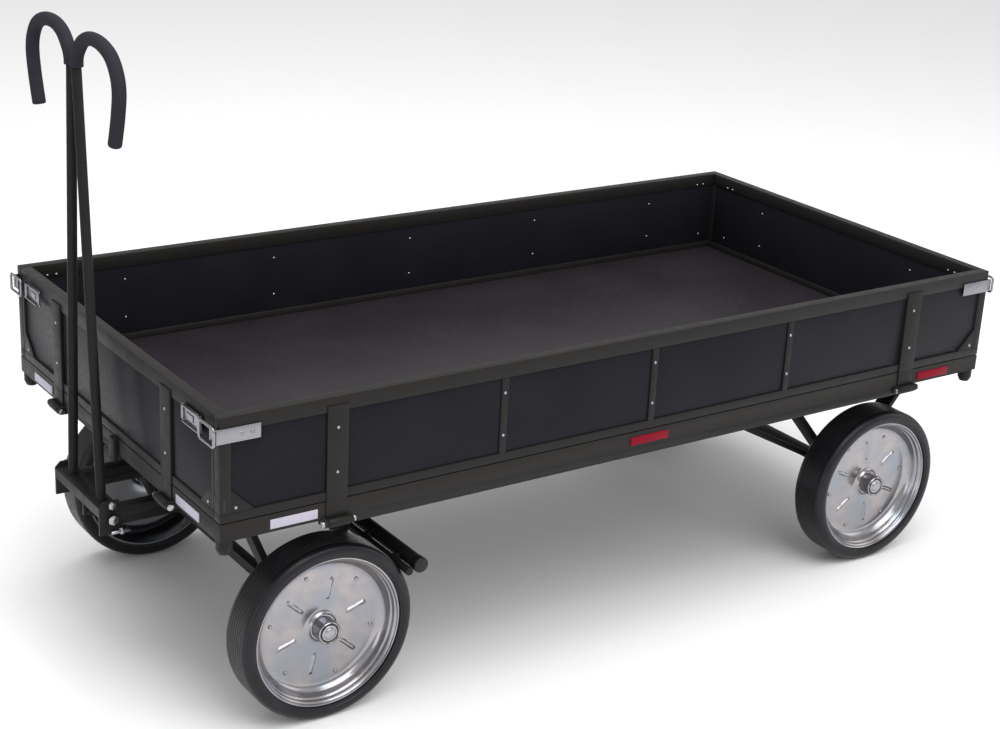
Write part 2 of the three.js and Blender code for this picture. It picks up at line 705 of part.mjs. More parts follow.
// ---- Parking brake ---------------------------------------------------------------------------
// The brake shaft, its arms, the long brake bar and the shoe rod that bears on the front tyres.
function brakeBar() {
  const shaftHalf = brakeArmY + 2 * brakeArmThickness + 4;
  const across = (x, z, half, radius, sides) =>
    rod([x, -half, z], [x, half, z], radius, sides);
  const arm = (y, x, z, halfWide) => {
    const topZ = brakePivotZ + 10;
    const top = [[brakePivotX + halfWide, topZ], [brakePivotX - halfWide, topZ]];
    const foot = [[x - halfWide, z], [x + halfWide, z]];
    return plateXZ([...foot, ...top], y - brakeArmThickness / 2, y + brakeArmThickness / 2);
  };
  const webPlaces = [brakeArmY, ...brakeWebInsets.map((inset) => brakeBarHalf - inset)];
  const webHalf = brakeArmThickness / 2;
  const web = (y) => block(shoeX, brakeBarX, y - webHalf, y + webHalf, shoeZ - 6, shoeZ + 10);
  const webs = webPlaces.flatMap((y) => [web(-y), web(y)]);
  const bar = join(
    across(brakeBarX, brakeBarZ, brakeBarHalf, brakeBarRadius, 20),
    across(shoeX, shoeZ, brakeBarHalf + 6, shoeRadius, 12),
    across(brakePivotX, brakePivotZ, shaftHalf, brakeShaftRadius, 16),
    arm(-brakeArmY, brakeBarX - 12, brakeBarZ, 12),
    arm(brakeArmY, brakeBarX - 12, brakeBarZ, 12),
    arm(0, brakePivotX, brakePivotZ - brakeArm - eyeRadius, eyeRadius),
    ...webs,
  );
  const eye = across(brakePivotX, brakePivotZ - brakeArm, 20, eyePinRadius + gap, 12);
  return cut(bar, eye);
}

// The rod that joins the drawbar's lug to the brake shaft, with a yoke at each end. Its front yoke
// stands astride the lug with room to spare on both sides.
function brakeRod() {
  const front = [drawbarPivotX, drawbarPivotZ - lugDrop];
  const back = [brakePivotX, brakePivotZ - brakeArm];
  const inner = brakeArmThickness / 2 + 1;
  const outer = inner + 5;
  const yoke = ([x, z], toward) => {
    const cheek = (y0) => join(
      rod([x, y0, z], [x, y0 + 5, z], eyeRadius, 12),
      block(Math.min(x, x + toward * 30), Math.max(x, x + toward * 30), y0, y0 + 5, z - 6, z + 6),
    );
    const bridge = block(Math.min(x + toward * 22, x + toward * 32),
      Math.max(x + toward * 22, x + toward * 32), -outer, outer, z - 6.5, z + 6.5);
    return join(cheek(inner), cheek(-outer), bridge);
  };
  const pin = rod([back[0], -outer, back[1]], [back[0], outer, back[1]], eyePinRadius, 12);
  const shank = rod([front[0] + 26, 0, front[1]], [back[0] - 26, 0, back[1]], brakeRodRadius, 12);
  return join(yoke(front, 1), yoke(back, -1), shank, pin);
}

place(steered, "brake_rod", brakeRod(), blackSteel);
place(steered, "brake_bar", brakeBar(), blackSteel);

// ---- Origin at the middle of the box, on the ground ------------------------------------------
const box = new THREE.Box3().setFromObject(truck);
const wagon = new THREE.Group();
truck.position.set(-(box.min.x + box.max.x) / 2, -(box.min.y + box.max.y) / 2, -box.min.z);
wagon.add(truck);

export default wagon;
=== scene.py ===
"""Looks of a drop-side platform hand truck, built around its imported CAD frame.

Front (drawbar) towards -X, left side towards -Y, up +Z, metres. Each operator makes one piece or
one group of like pieces; main() runs them in order.
"""

import json
import math

import bmesh
import bpy
from bpy.props import (
    FloatProperty, FloatVectorProperty, IntProperty, PointerProperty, StringProperty)
from mathutils import Matrix, Vector

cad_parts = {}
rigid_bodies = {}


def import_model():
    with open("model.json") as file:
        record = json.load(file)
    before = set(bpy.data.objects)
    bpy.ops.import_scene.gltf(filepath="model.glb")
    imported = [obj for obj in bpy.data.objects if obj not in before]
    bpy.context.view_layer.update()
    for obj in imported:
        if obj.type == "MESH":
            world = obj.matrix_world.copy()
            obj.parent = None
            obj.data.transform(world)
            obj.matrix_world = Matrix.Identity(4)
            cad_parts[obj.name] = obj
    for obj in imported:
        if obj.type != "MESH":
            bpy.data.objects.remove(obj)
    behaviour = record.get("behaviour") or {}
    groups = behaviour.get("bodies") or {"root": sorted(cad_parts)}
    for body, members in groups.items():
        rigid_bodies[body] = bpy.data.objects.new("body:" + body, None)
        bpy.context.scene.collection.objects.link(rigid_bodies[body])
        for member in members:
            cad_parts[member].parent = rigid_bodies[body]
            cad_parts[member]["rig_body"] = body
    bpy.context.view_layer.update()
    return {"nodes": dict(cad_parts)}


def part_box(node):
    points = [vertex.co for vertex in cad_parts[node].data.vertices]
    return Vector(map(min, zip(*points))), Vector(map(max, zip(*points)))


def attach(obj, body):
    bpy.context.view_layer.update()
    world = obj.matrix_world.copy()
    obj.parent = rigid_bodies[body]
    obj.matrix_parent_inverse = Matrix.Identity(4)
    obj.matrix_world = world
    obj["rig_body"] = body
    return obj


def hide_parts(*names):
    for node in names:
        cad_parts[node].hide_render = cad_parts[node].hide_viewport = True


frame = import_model()

bl_info = {
    "name": "Drop-side hand truck",
    "version": (1, 0, 0),
    "blender": (4, 5, 0),
    "location": "View3D > Sidebar > Hand truck",
    "description": "Builds the visible pieces of a drop-side platform hand truck",
    "category": "Object",
}

MM = 0.001
SIDES = ("left", "right", "front", "rear")
TAGS = ("a", "b")
WHEELS = ("front_left", "front_right", "rear_left", "rear_right")


# ---- Settings -----------------------------------------------------------------------------------
class TruckSettings(bpy.types.PropertyGroup):
    """Sizes of the finish and of the small pieces."""

    edge_round: FloatProperty(
        name="Edge rounding", description="Rounded edge of plates and sections", default=1.2 * MM,
        unit="LENGTH")
    rivet_radius: FloatProperty(
        name="Rivet radius", description="Radius of a side's rivet head", default=3.4 * MM,
        unit="LENGTH")
    rivet_height: FloatProperty(
        name="Rivet height", description="Height of a side's rivet head", default=1.9 * MM,
        unit="LENGTH")
    reflector_length: FloatProperty(
        name="Reflector length", description="Length of a rail reflector", default=105 * MM,
        unit="LENGTH")
    reflector_height: FloatProperty(
        name="Reflector height", description="Height of a rail reflector", default=20 * MM,
        unit="LENGTH")
    rib_count: IntProperty(
        name="Wheel ribs", description="Ribs and rivets of a wheel disc", default=6, min=3, max=12)
    groove_count: IntProperty(
        name="Tread grooves", description="Grooves round a tyre's tread", default=7, min=0, max=11)
    grip_bulge: FloatProperty(
        name="Grip end rounding", description="Rounding of a foam grip's ends", default=4 * MM,
        unit="LENGTH")


class FinishSettings(bpy.types.PropertyGroup):
    """Colours of the finishes, as sRGB hex values."""

    powder: StringProperty(name="Powder coat", description="Frame colour", default="191817")
    film: StringProperty(name="Plywood film", description="Side board colour", default="1c1b20")
    floor_film: StringProperty(
        name="Floor film", description="Floor board colour", default="262227")
    rubber: StringProperty(name="Rubber", description="Tyre colour", default="151518")
    foam: StringProperty(name="Foam", description="Grip colour", default="29282e")
    zinc: StringProperty(name="Zinc", description="Zinc plating colour", default="a9a9ae")
    red: StringProperty(name="Red reflector", description="Reflector colour", default="7e0f22")
    white: StringProperty(name="White reflector", description="Reflector colour", default="b5b1bf")


class StageSettings(bpy.types.PropertyGroup):
    """Camera and floor colour."""

    azimuth: FloatProperty(
        name="Azimuth", description="Camera's way round the truck, from looking along +Y",
        default=math.radians(-35.07), unit="ROTATION")
    elevation: FloatProperty(
        name="Elevation", description="Camera's height angle", default=math.radians(20.48),
        unit="ROTATION")
    roll: FloatProperty(
        name="Roll", description="Camera's roll", default=math.radians(2.94), unit="ROTATION")
    camera_place: FloatVectorProperty(
        name="Camera place", description="Camera, from the middle of the deck on the ground",
        default=(-2.4863, -3.4757, 2.0948), subtype="TRANSLATION", unit="LENGTH")
    focal_length: FloatProperty(
        name="Focal length", description="Lens, in millimetres on a 36 mm frame", default=67.37)
    floor_grey: StringProperty(name="Floor", description="Floor colour", default="f4f4f5")


def settings():
    return bpy.context.scene.truck_settings


def finishes():
    return bpy.context.scene.finish_settings


# ---- Places taken from the frame ----------------------------------------------------------------
def middle(node):
    low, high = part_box(node)
    return (low + high) / 2


def body_of(node):
    return frame["nodes"][node]["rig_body"]


DECK_LOW, DECK_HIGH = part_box("left_side_frame")
DECK_X = (DECK_LOW.x + DECK_HIGH.x) / 2
DECK_HALF = (DECK_HIGH.x - DECK_LOW.x) / 2
SIDE_TOP = DECK_HIGH.z
DECK_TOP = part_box("deck_frame")[1].z
DECK_HALF_WIDTH = 525 * MM
SIDE_BOTTOM = DECK_TOP + 2 * MM
SIDE_THICKNESS = 25 * MM
PLATE = 3.3 * MM
TOP_RAIL = 32 * MM
BOTTOM_RAIL = 19 * MM
STRAP_WIDTH = 48 * MM
STRAP_TOP_MARGIN = 18 * MM
STRIP_WIDTH = 17 * MM
GUSSET = 50 * MM
LONG_STILE, SHORT_STILE = 24 * MM, 10 * MM
LONG_STRAP_OFFSET, SHORT_STRAP_OFFSET = 795 * MM, 286 * MM
STRIP_SPACING = 397.5 * MM
STRIP_PROUD = 0.4 * MM
# Straps and keepers stand this far off a side's outer face.
FACE_GAP = 0.3 * MM
HINGE_AXIS_OUT = 9.8 * MM
HINGE_BARREL_RADIUS = 9.5 * MM
# The faceted tyres rest on their flats, so the frame stands this much below its drawn heights.
GROUND_SHIFT = 0.6 * MM
# Depth of a hub's outer end behind its tyre's outer face.
HUB_DEPTH = 4 * MM


class Side:
    """One side's own directions: along its length, outwards and up."""

    def __init__(self, name):
        self.name = name
        self.long = name in ("left", "right")
        self.body = name + "_side"
        turn = {"left": 0.0, "right": math.pi, "front": -math.pi / 2, "rear": math.pi / 2}[name]
        self.turn = Matrix.Rotation(turn, 4, "Z")
        self.out = DECK_HALF_WIDTH if self.long else DECK_HALF
        self.half = DECK_HALF if self.long else DECK_HALF_WIDTH - SIDE_THICKNESS - 1 * MM
        self.stile = LONG_STILE if self.long else SHORT_STILE
        offset = LONG_STRAP_OFFSET if self.long else SHORT_STRAP_OFFSET
        self.straps = [-offset, offset]
        self.strips = [-STRIP_SPACING, 0.0, STRIP_SPACING] if self.long else []
        self.matrix = Matrix.Translation((DECK_X, 0, 0)) @ self.turn

    def place(self, along, outward, up):
        """A point: along the side, outwards from its outer face, and up from the ground."""
        return self.matrix @ Vector((along, -self.out - outward, up))


# ---- Mesh helpers -------------------------------------------------------------------------------
def add_box(bm, low, high, matrix=None):
    """A box between two corners."""
    low, high = Vector(low), Vector(high)
    size = Matrix.Diagonal((*(high - low), 1))
    place = (matrix or Matrix()) @ Matrix.Translation((low + high) / 2) @ size
    bmesh.ops.create_cube(bm, size=1, matrix=place)


def add_rod(bm, start, end, radius, segments=40, end_radius=None):
    """A round bar between two points."""
    start, end = Vector(start), Vector(end)
    way = end - start
    turn = way.to_track_quat("Z", "Y").to_matrix().to_4x4()
    bmesh.ops.create_cone(
        bm, cap_ends=True, segments=segments, radius1=radius,
        radius2=radius if end_radius is None else end_radius, depth=way.length,
        matrix=Matrix.Translation((start + end) / 2) @ turn)


def add_turned(bm, outline, centre, segments, outward=-1, offset=None):
    """A ring turned about the Y axis from a closed outline of (radius, depth from the outer face).

    offset(radius, depth, angle) may add to a point's depth.
    """
    rings = []
    for step in range(segments):
        angle = 2 * math.pi * step / segments
        ring = []
        for radius, depth in outline:
            if offset:
                depth = depth + offset(radius, depth, angle)
            ring.append(bm.verts.new((centre[0] + radius * math.cos(angle),
                                      centre[1] - outward * depth,
                                      centre[2] + radius * math.sin(angle))))
        rings.append(ring)
    count = len(outline)
    for step in range(segments):
        here, after = rings[step], rings[(step + 1) % segments]
        for i in range(count):
            j = (i + 1) % count
            bm.faces.new((here[i], here[j], after[j], after[i]))


def add_disc(bm, outline, centre, segments, outward=-1):
    """A turned piece that starts and ends on its axis; the outline leaves those two points out."""
    rings = []
    for radius, depth in outline:
        rings.append([bm.verts.new((centre[0] + radius * math.cos(2 * math.pi * s / segments),
                                    centre[1] - outward * depth,
                                    centre[2] + radius * math.sin(2 * math.pi * s / segments)))
                      for s in range(segments)])
    for here, after in zip(rings, rings[1:]):
        for s in range(segments):
            t = (s + 1) % segments
            bm.faces.new((here[s], here[t], after[t], after[s]))
    bm.faces.new(rings[0])
    bm.faces.new(list(reversed(rings[-1])))


def add_plate(bm, corners, thickness):
    """A flat plate from its corner points and the vector of its thickness."""
    lower = [bm.verts.new(c) for c in corners]
    upper = [bm.verts.new(Vector(c) + Vector(thickness)) for c in corners]
    bm.faces.new(lower)
    bm.faces.new(list(reversed(upper)))
    for i in range(len(corners)):
        j = (i + 1) % len(corners)
        bm.faces.new((lower[i], upper[i], upper[j], lower[j]))


def add_dome(bm, base, normal, radius, height, segments=16):
    """A rivet head: a low dome on a surface."""
    turn = Vector(normal).to_track_quat("Z", "Y").to_matrix().to_4x4()
    place = Matrix.Translation(base) @ turn
    rings = 4
    levels = []
    for level in range(rings):
        angle = level / rings * math.pi / 2
        levels.append([bm.verts.new(place @ Vector((
            radius * math.cos(angle) * math.cos(2 * math.pi * s / segments),
            radius * math.cos(angle) * math.sin(2 * math.pi * s / segments),
            height * math.sin(angle)))) for s in range(segments)])
    top = bm.verts.new(place @ Vector((0, 0, height)))
    for here, after in zip(levels, levels[1:]):
        for s in range(segments):
            t = (s + 1) % segments
            bm.faces.new((here[s], here[t], after[t], after[s]))
    for s in range(segments):
        bm.faces.new((levels[-1][s], levels[-1][(s + 1) % segments], top))
    bm.faces.new(list(reversed(levels[0])))


def add_sleeve(bm, points, radius, segments=28, end_round=0.0):
    """A round bar along a line of points, its ends rounded over end_round."""
    stations = []
    steps = 4
    for i, point in enumerate(points):
        before = points[max(i - 1, 0)]
        after = points[min(i + 1, len(points) - 1)]
        stations.append((Vector(point), (Vector(after) - Vector(before)).normalized(), radius))
    if end_round:
        first, last = stations[0], stations[-1]
        for k in range(1, steps + 1):
            angle = k / steps * math.pi / 2
            shrink = radius - end_round * (1 - math.cos(angle))
            reach = end_round * math.sin(angle)
            stations.insert(0, (first[0] - first[1] * (reach - end_round), first[1], shrink))
            stations.append((last[0] + last[1] * (reach - end_round), last[1], shrink))
        stations[steps] = (first[0] + first[1] * end_round, first[1], radius)
        stations[-steps - 1] = (last[0] - last[1] * end_round, last[1], radius)
    rings = []
    side = Vector((1, 0, 0))
    for place, way, size in stations:
        side = (side - way * side.dot(way)).normalized()
        other = way.cross(side)
        rings.append([bm.verts.new(place + size * (math.cos(a) * side + math.sin(a) * other))
                      for a in (2 * math.pi * s / segments for s in range(segments))])
    for here, after in zip(rings, rings[1:]):
        for s in range(segments):
            t = (s + 1) % segments
            bm.faces.new((here[s], here[t], after[t], after[s]))
    bm.faces.new(list(reversed(rings[0])))
    bm.faces.new(rings[-1])


def round_edges(bm, width, segments=2, angle=28):
    """Rounds every edge that is sharper than an angle, in degrees."""
    bm.normal_update()
    sharp = [e for e in bm.edges
             if len(e.link_faces) == 2 and e.calc_face_angle(0) > math.radians(angle)]
    bmesh.ops.bevel(bm, geom=sharp, offset=width, segments=segments, profile=0.5, affect="EDGES",
                    clamp_overlap=True)


def finish_piece(name, bm, material, body, replaced=(), smooth=35):
    """Turns a mesh in the making into a piece that rides on a body."""
    bmesh.ops.recalc_face_normals(bm, faces=bm.faces)
    mesh = bpy.data.meshes.new(name)
    bm.to_mesh(mesh)
    bm.free()
    mesh.shade_smooth()
    mesh.set_sharp_from_angle(angle=math.radians(smooth))
    piece = bpy.data.objects.new(name, mesh)
    bpy.context.scene.collection.objects.link(piece)
    mesh.materials.append(material)
    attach(piece, body)
    if replaced:
        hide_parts(*replaced)
    return piece


def softened(node, material, width=None):
    """A copy of a CAD node with its edges rounded, which stands for that node."""
    bm = bmesh.new()
    bm.from_mesh(frame["nodes"][node].data)
    bmesh.ops.remove_doubles(bm, verts=bm.verts, dist=0.01 * MM)
    bmesh.ops.dissolve_limit(bm, angle_limit=math.radians(1), verts=bm.verts, edges=bm.edges)
    round_edges(bm, width or settings().edge_round)
    return finish_piece(node + "_piece", bm, material, body_of(node), [node])


# ---- Materials ----------------------------------------------------------------------------------
def linear(hex_value):
    """An sRGB hex value as linear RGBA."""
    parts = [int(hex_value[i:i + 2], 16) / 255 for i in (0, 2, 4)]
    return (*[c / 12.92 if c <= 0.04045 else ((c + 0.055) / 1.055) ** 2.4 for c in parts], 1.0)


def add_node(tree, kind, inputs=None, **attributes):
    """Adds a node with its settings; an input is a value or the socket that it is linked to."""
    made = tree.nodes.new(kind)
    for key, value in attributes.items():
        setattr(made, key, value)
    for key, value in (inputs or {}).items():
        if isinstance(value, bpy.types.NodeSocket):
            tree.links.new(value, made.inputs[key])
        else:
            made.inputs[key].default_value = value
    return made


def new_material(name):
    """A material with only an output, and its tree."""
    material = bpy.data.materials.new(name)
    material.use_nodes = True
    tree = material.node_tree
    tree.nodes.clear()
    return material, tree


def surface(tree, shader):
    add_node(tree, "ShaderNodeOutputMaterial", {"Surface": shader.outputs["BSDF"]})


def spread(tree, source, low, high, to_low, to_high):
    """Maps a pattern's stretch of values to another."""
    return add_node(tree, "ShaderNodeMapRange", {
        "Value": source, "From Min": low, "From Max": high, "To Min": to_low,
        "To Max": to_high}).outputs["Result"]


def noise(tree, size_mm, detail=4.0, stretch=None):
    """Noise whose lumps are about size_mm across, in the piece's own space."""
    where = add_node(tree, "ShaderNodeTexCoord").outputs["Object"]
    if stretch:
        mapping = add_node(tree, "ShaderNodeMapping", {"Vector": where, "Scale": stretch})
        where = mapping.outputs["Vector"]
    return add_node(tree, "ShaderNodeTexNoise", {
        "Vector": where, "Scale": 1 / (size_mm * MM), "Detail": detail}).outputs["Fac"]


def two_tone(tree, source, first, second):
    """Blends two colours, or patterns of colour, by a pattern."""
    return add_node(tree, "ShaderNodeMix", {0: source, 6: first, 7: second},
                    data_type="RGBA").outputs[2]


def shade(colour, factor):
    return (*[min(1.0, c * factor) for c in colour[:3]], 1.0)


def bump(tree, height, distance_mm, strength):
    return add_node(tree, "ShaderNodeBump", {
        "Height": height, "Distance": distance_mm * MM, "Strength": strength}).outputs["Normal"]


def powder_coat():
    """Satin powder coat on steel: an even warm black with fine orange peel, which takes dust."""
    material, tree = new_material("satin_powder_coat")
    base = linear(finishes().powder)
    dust = spread(tree, noise(tree, 70), 0.35, 0.7, 0.0, 1.0)
    # The coat is drawn paler along outside edges.
    edge = add_node(tree, "ShaderNodeNewGeometry").outputs["Pointiness"]
    paler_edge_mask = spread(tree, edge, 0.51, 0.6, 0.0, 1.0)
    colour = two_tone(tree, dust, shade(base, 0.94), shade(base, 1.1))
    colour = two_tone(tree, paler_edge_mask, colour, shade(base, 1.9))
    shader = add_node(tree, "ShaderNodeBsdfPrincipled", {
        "Base Color": colour, "Roughness": spread(tree, noise(tree, 25), 0.3, 0.7, 0.4, 0.52),
        "IOR": 1.5, "Specular IOR Level": 0.14,
        # Orange peel of powder coat is 2 to 3 mm across; drawn at 3 mm so that it shows.
        "Normal": bump(tree, noise(tree, 3.0, 2.0), 0.1, 0.3)})
    surface(tree, shader)
    return material


def phenolic_film(name, hex_value, rough_low, rough_high, gloss):
    """Phenolic film pressed on plywood: blue-black, slightly glossy, with a faint press grain."""
    material, tree = new_material(name)
    base = linear(hex_value)
    cloud = spread(tree, noise(tree, 160), 0.3, 0.7, 0.0, 1.0)
    colour = two_tone(tree, cloud, shade(base, 0.88), shade(base, 1.15))
    # Fibres of the plywood's face veneer print through the film, about 1 by 40 mm.
    grain = noise(tree, 2.0, 3.0, (0.06, 1.0, 1.0))
    scuffs = noise(tree, 9.0, 6.0)
    shader = add_node(tree, "ShaderNodeBsdfPrincipled", {
        "Base Color": colour, "Roughness": spread(tree, scuffs, 0.3, 0.7, rough_low, rough_high),
        "IOR": 1.52, "Specular IOR Level": gloss, "Normal": bump(tree, grain, 0.08, 0.25)})
    surface(tree, shader)
    return material


def zinc_plate(name, rough_low, rough_high, tint, darker=1.0):
    """Bright zinc plating under its thin passivation film: pale steel with faint colour clouds."""
    material, tree = new_material(name)
    base = shade(linear(finishes().zinc), darker)
    warm = (base[0], base[1] * (1 - 0.1 * tint), base[2] * (1 - 0.18 * tint), 1.0)
    cool = (base[0] * (1 - 0.3 * tint), base[1] * (1 - 0.24 * tint), base[2] * (1 - 0.2 * tint),
            1.0)
    clouds = spread(tree, noise(tree, 90, 2.0), 0.35, 0.65, 0.0, 1.0)
    stains = spread(tree, noise(tree, 26, 3.0), 0.4, 0.72, 0.0, 1.0)
    colour = two_tone(tree, clouds, warm, cool)
    colour = two_tone(tree, stains, colour, shade(base, 1 - 0.25 * tint))
    shader = add_node(tree, "ShaderNodeBsdfPrincipled", {
        "Base Color": colour, "Metallic": 1.0,
        "Roughness": spread(tree, noise(tree, 40, 4.0), 0.3, 0.7, rough_low, rough_high),
        "Normal": bump(tree, noise(tree, 30.0, 2.0), 0.12, 0.12)})
    surface(tree, shader)
    return material


def moulded_rubber():
    """Vulcanised tyre rubber: near black, matt, with mould bloom."""
    material, tree = new_material("vulcanised_rubber")
    base = linear(finishes().rubber)
    bloom = spread(tree, noise(tree, 45, 3.0), 0.35, 0.7, 0.0, 1.0)
    shader = add_node(tree, "ShaderNodeBsdfPrincipled", {
        "Base Color": two_tone(tree, bloom, base, shade(base, 1.5)),
        "Roughness": spread(tree, noise(tree, 12, 4.0), 0.3, 0.7, 0.26, 0.4), "IOR": 1.52,
        "Specular IOR Level": 0.25,
        "Normal": bump(tree, noise(tree, 1.5, 3.0), 0.06, 0.3)})
    surface(tree, shader)
    return material


def foam_rubber():
    """Foam rubber sleeve: blue-black with open cells, so it takes hardly any highlight."""
    material, tree = new_material("foam_rubber")
    base = linear(finishes().foam)
    cells = noise(tree, 1.6, 5.0)
    shader = add_node(tree, "ShaderNodeBsdfPrincipled", {
        "Base Color": two_tone(tree, spread(tree, cells, 0.35, 0.65, 0.0, 1.0), shade(base, 0.8),
                               shade(base, 1.35)),
        "Roughness": 0.82, "IOR": 1.45, "Specular IOR Level": 0.12,
        # Foam cells are about 0.5 mm; drawn at 1.6 mm so that they show.
        "Normal": bump(tree, cells, 0.25, 0.6)})
    surface(tree, shader)
    return material


def prismatic(name, hex_value):
    """Prismatic reflector sheet under clear acrylic: a honeycomb of 3 mm cells, dulled by dust."""
    material, tree = new_material(name)
    base = linear(hex_value)
    where = add_node(tree, "ShaderNodeTexCoord").outputs["Object"]
    cells = add_node(tree, "ShaderNodeTexVoronoi", {
        "Vector": where, "Scale": 1 / (3.0 * MM), "Randomness": 0.15}, feature="DISTANCE_TO_EDGE")
    edge = spread(tree, cells.outputs["Distance"], 0.0, 0.12, 0.0, 1.0)
    shader = add_node(tree, "ShaderNodeBsdfPrincipled", {
        "Base Color": two_tone(tree, edge, shade(base, 0.72), base), "Roughness": 0.3, "IOR": 1.49,
        "Specular IOR Level": 0.06, "Coat Weight": 0.03, "Coat Roughness": 0.1,
        "Normal": bump(tree, cells.outputs["Distance"], 0.4, 0.3)})
    surface(tree, shader)
    return material


def plain_rubber_ring():
    """Nitrile seal: black, a little glossy."""
    material, tree = new_material("nitrile_seal")
    shader = add_node(tree, "ShaderNodeBsdfPrincipled", {
        "Base Color": two_tone(tree, noise(tree, 8), linear("0b0b0c"), linear("141416")),
        "Roughness": 0.4, "IOR": 1.52})
    surface(tree, shader)
    return material


def studio_floor():
    """Painted studio floor: pale and matt, with a barely visible roll texture."""
    material, tree = new_material("studio_floor_paint")
    base = linear(bpy.context.scene.stage_settings.floor_grey)
    shader = add_node(tree, "ShaderNodeBsdfPrincipled", {
        "Base Color": two_tone(tree, noise(tree, 400), base, shade(base, 0.985)),
        "Roughness": 0.7, "Specular IOR Level": 0.2})
    surface(tree, shader)
    return material


MAKERS = {
    "powder": powder_coat,
    "film": lambda: phenolic_film("film_faced_plywood", finishes().film, 0.26, 0.38, 0.06),
    "floor": lambda: phenolic_film("floor_film_plywood", finishes().floor_film, 0.34, 0.48, 0.18),
    "zinc": lambda: zinc_plate("bright_zinc_plate", 0.2, 0.32, 0.5),
    "latch": lambda: zinc_plate("blue_passivated_zinc", 0.24, 0.36, 0.35, 0.72),
    "disc": lambda: zinc_plate("pressed_zinc_plated_steel", 0.16, 0.26, 1.0),
    "rubber": moulded_rubber,
    "foam": foam_rubber,
    "red": lambda: prismatic("red_prismatic_acrylic", finishes().red),
    "white": lambda: prismatic("clear_prismatic_acrylic", finishes().white),
    "seal": plain_rubber_ring,
    "stage": studio_floor,
}
_made = {}


def finish(name):
    """A finish by its short name, made once."""
    if name not in _made:
        _made[name] = MAKERS[name]()
    return _made[name]


# ---- Deck ---------------------------------------------------------------------------------------
class TRUCK_OT_deck(bpy.types.Operator):
    """Welded deck frame, rest bracket and floor board"""

    bl_idname = "truck.deck"
    bl_label = "Deck"

    def execute(self, context):
        softened("deck_frame", finish("powder"), 1.6 * MM)
        softened("drawbar_rest", finish("powder"))
        low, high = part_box("floor_board")
        bm = bmesh.new()
        add_box(bm, low, high)
        round_edges(bm, 0.8 * MM)
        finish_piece("floor_board_piece", bm, finish("floor"), "deck",
                     ["floor_board"])
        return {"FINISHED"}


class TRUCK_OT_reflectors(bpy.types.Operator):
    """Reflectors on the rails"""

    bl_idname = "truck.reflectors"
    bl_label = "Reflectors"

    # Along the side from its middle, in millimetres.
    LONG_PLACES = ((-890, "white"), (0, "red"), (892, "red"))
    SHORT_PLACES = (-382, 382)
    SHORT_COLOURS = {"front": "white", "rear": "red"}
    BELOW_DECK_TOP = 21 * MM
    THICKNESS = 2.2 * MM
    SUNK = 0.2 * MM

    def execute(self, context):
        up = DECK_TOP - self.BELOW_DECK_TOP
        for name in SIDES:
            side = Side(name)
            if side.long:
                way = -1 if name == "right" else 1
                places = [(way * x, colour) for x, colour in self.LONG_PLACES]
            else:
                places = [(x, self.SHORT_COLOURS[name]) for x in self.SHORT_PLACES]
            for number, (along, colour) in enumerate(places):
                self.reflector(side, along * MM, up, colour, number)
        return {"FINISHED"}

    def reflector(self, side, along, up, colour, number):
        half = settings().reflector_length / 2
        height = settings().reflector_height / 2
        bm = bmesh.new()
        add_box(bm, (along - half, -side.out - self.THICKNESS, up - height),
                (along + half, -side.out + self.SUNK, up + height), side.matrix)
        round_edges(bm, 0.8 * MM)
        finish_piece(f"{side.name}_reflector_{number}", bm, finish(colour), "deck")


# ---- Sides --------------------------------------------------------------------------------------
class TRUCK_OT_side_frames(bpy.types.Operator):
    """Steel edge frames of the sides, with straps, strips and gussets"""

    bl_idname = "truck.side_frames"
    bl_label = "Side frames"

    def execute(self, context):
        for name in SIDES:
            self.side_frame(Side(name))
        return {"FINISHED"}

    def side_frame(self, side):
        bm = bmesh.new()
        open_low = SIDE_BOTTOM + BOTTOM_RAIL
        open_high = SIDE_TOP - TOP_RAIL
        face = -side.out
        back = face + SIDE_THICKNESS
        boxes = [
            ((-side.half, face, open_high), (side.half, back, SIDE_TOP)),
            ((-side.half, face, SIDE_BOTTOM), (side.half, back, open_low)),
        ]
        for way in (-1, 1):
            near, far = sorted((way * (side.half - side.stile), way * side.half))
            boxes.append(((near, face, open_low + 0.05 * MM), (far, back, open_high - 0.05 * MM)))
        for x in side.strips:
            boxes.append(((x - STRIP_WIDTH / 2, face - STRIP_PROUD, open_low - 0.5 * MM),
                          (x + STRIP_WIDTH / 2, face + PLATE, open_high + 0.5 * MM)))
        for low, high in boxes:
            add_box(bm, low, high, side.matrix)
        for way in (-1, 1):
            corner = way * (side.half - side.stile + 1 * MM)
            tip = way * (side.half - side.stile - GUSSET)
            corners = [(corner, face, open_low), (tip, face, open_low),
                       (corner, face, open_low + GUSSET)]
            add_plate(bm, [side.matrix @ Vector(c) for c in corners],
                      side.matrix.to_3x3() @ Vector((0, PLATE, 0)))
        for x in side.straps:
            self.strap(bm, side, x)
        round_edges(bm, 1.4 * MM)
        node = f"{side.name}_side_frame"
        finish_piece(node + "_piece", bm, finish("powder"), side.body, [node])

    def strap(self, bm, side, x):
        """A strap down the outer face, its tail below the side and the barrel round the pin."""
        axis_z = middle(f"{side.name}_side_hinge_pin_a").z
        axis_y = -side.out - HINGE_AXIS_OUT
        half = STRAP_WIDTH / 2
        face = -side.out
        outer = face - FACE_GAP - PLATE
        add_box(bm, (x - half, outer, axis_z),
                (x + half, face - FACE_GAP, SIDE_BOTTOM + 2 * MM), side.matrix)
        add_box(bm, (x - half, outer, SIDE_BOTTOM + 0.5 * MM),
                (x + half, face + PLATE, SIDE_TOP - STRAP_TOP_MARGIN), side.matrix)
        add_rod(bm, side.matrix @ Vector((x - half, axis_y, axis_z)),
                side.matrix @ Vector((x + half, axis_y, axis_z)), HINGE_BARREL_RADIUS, 36)


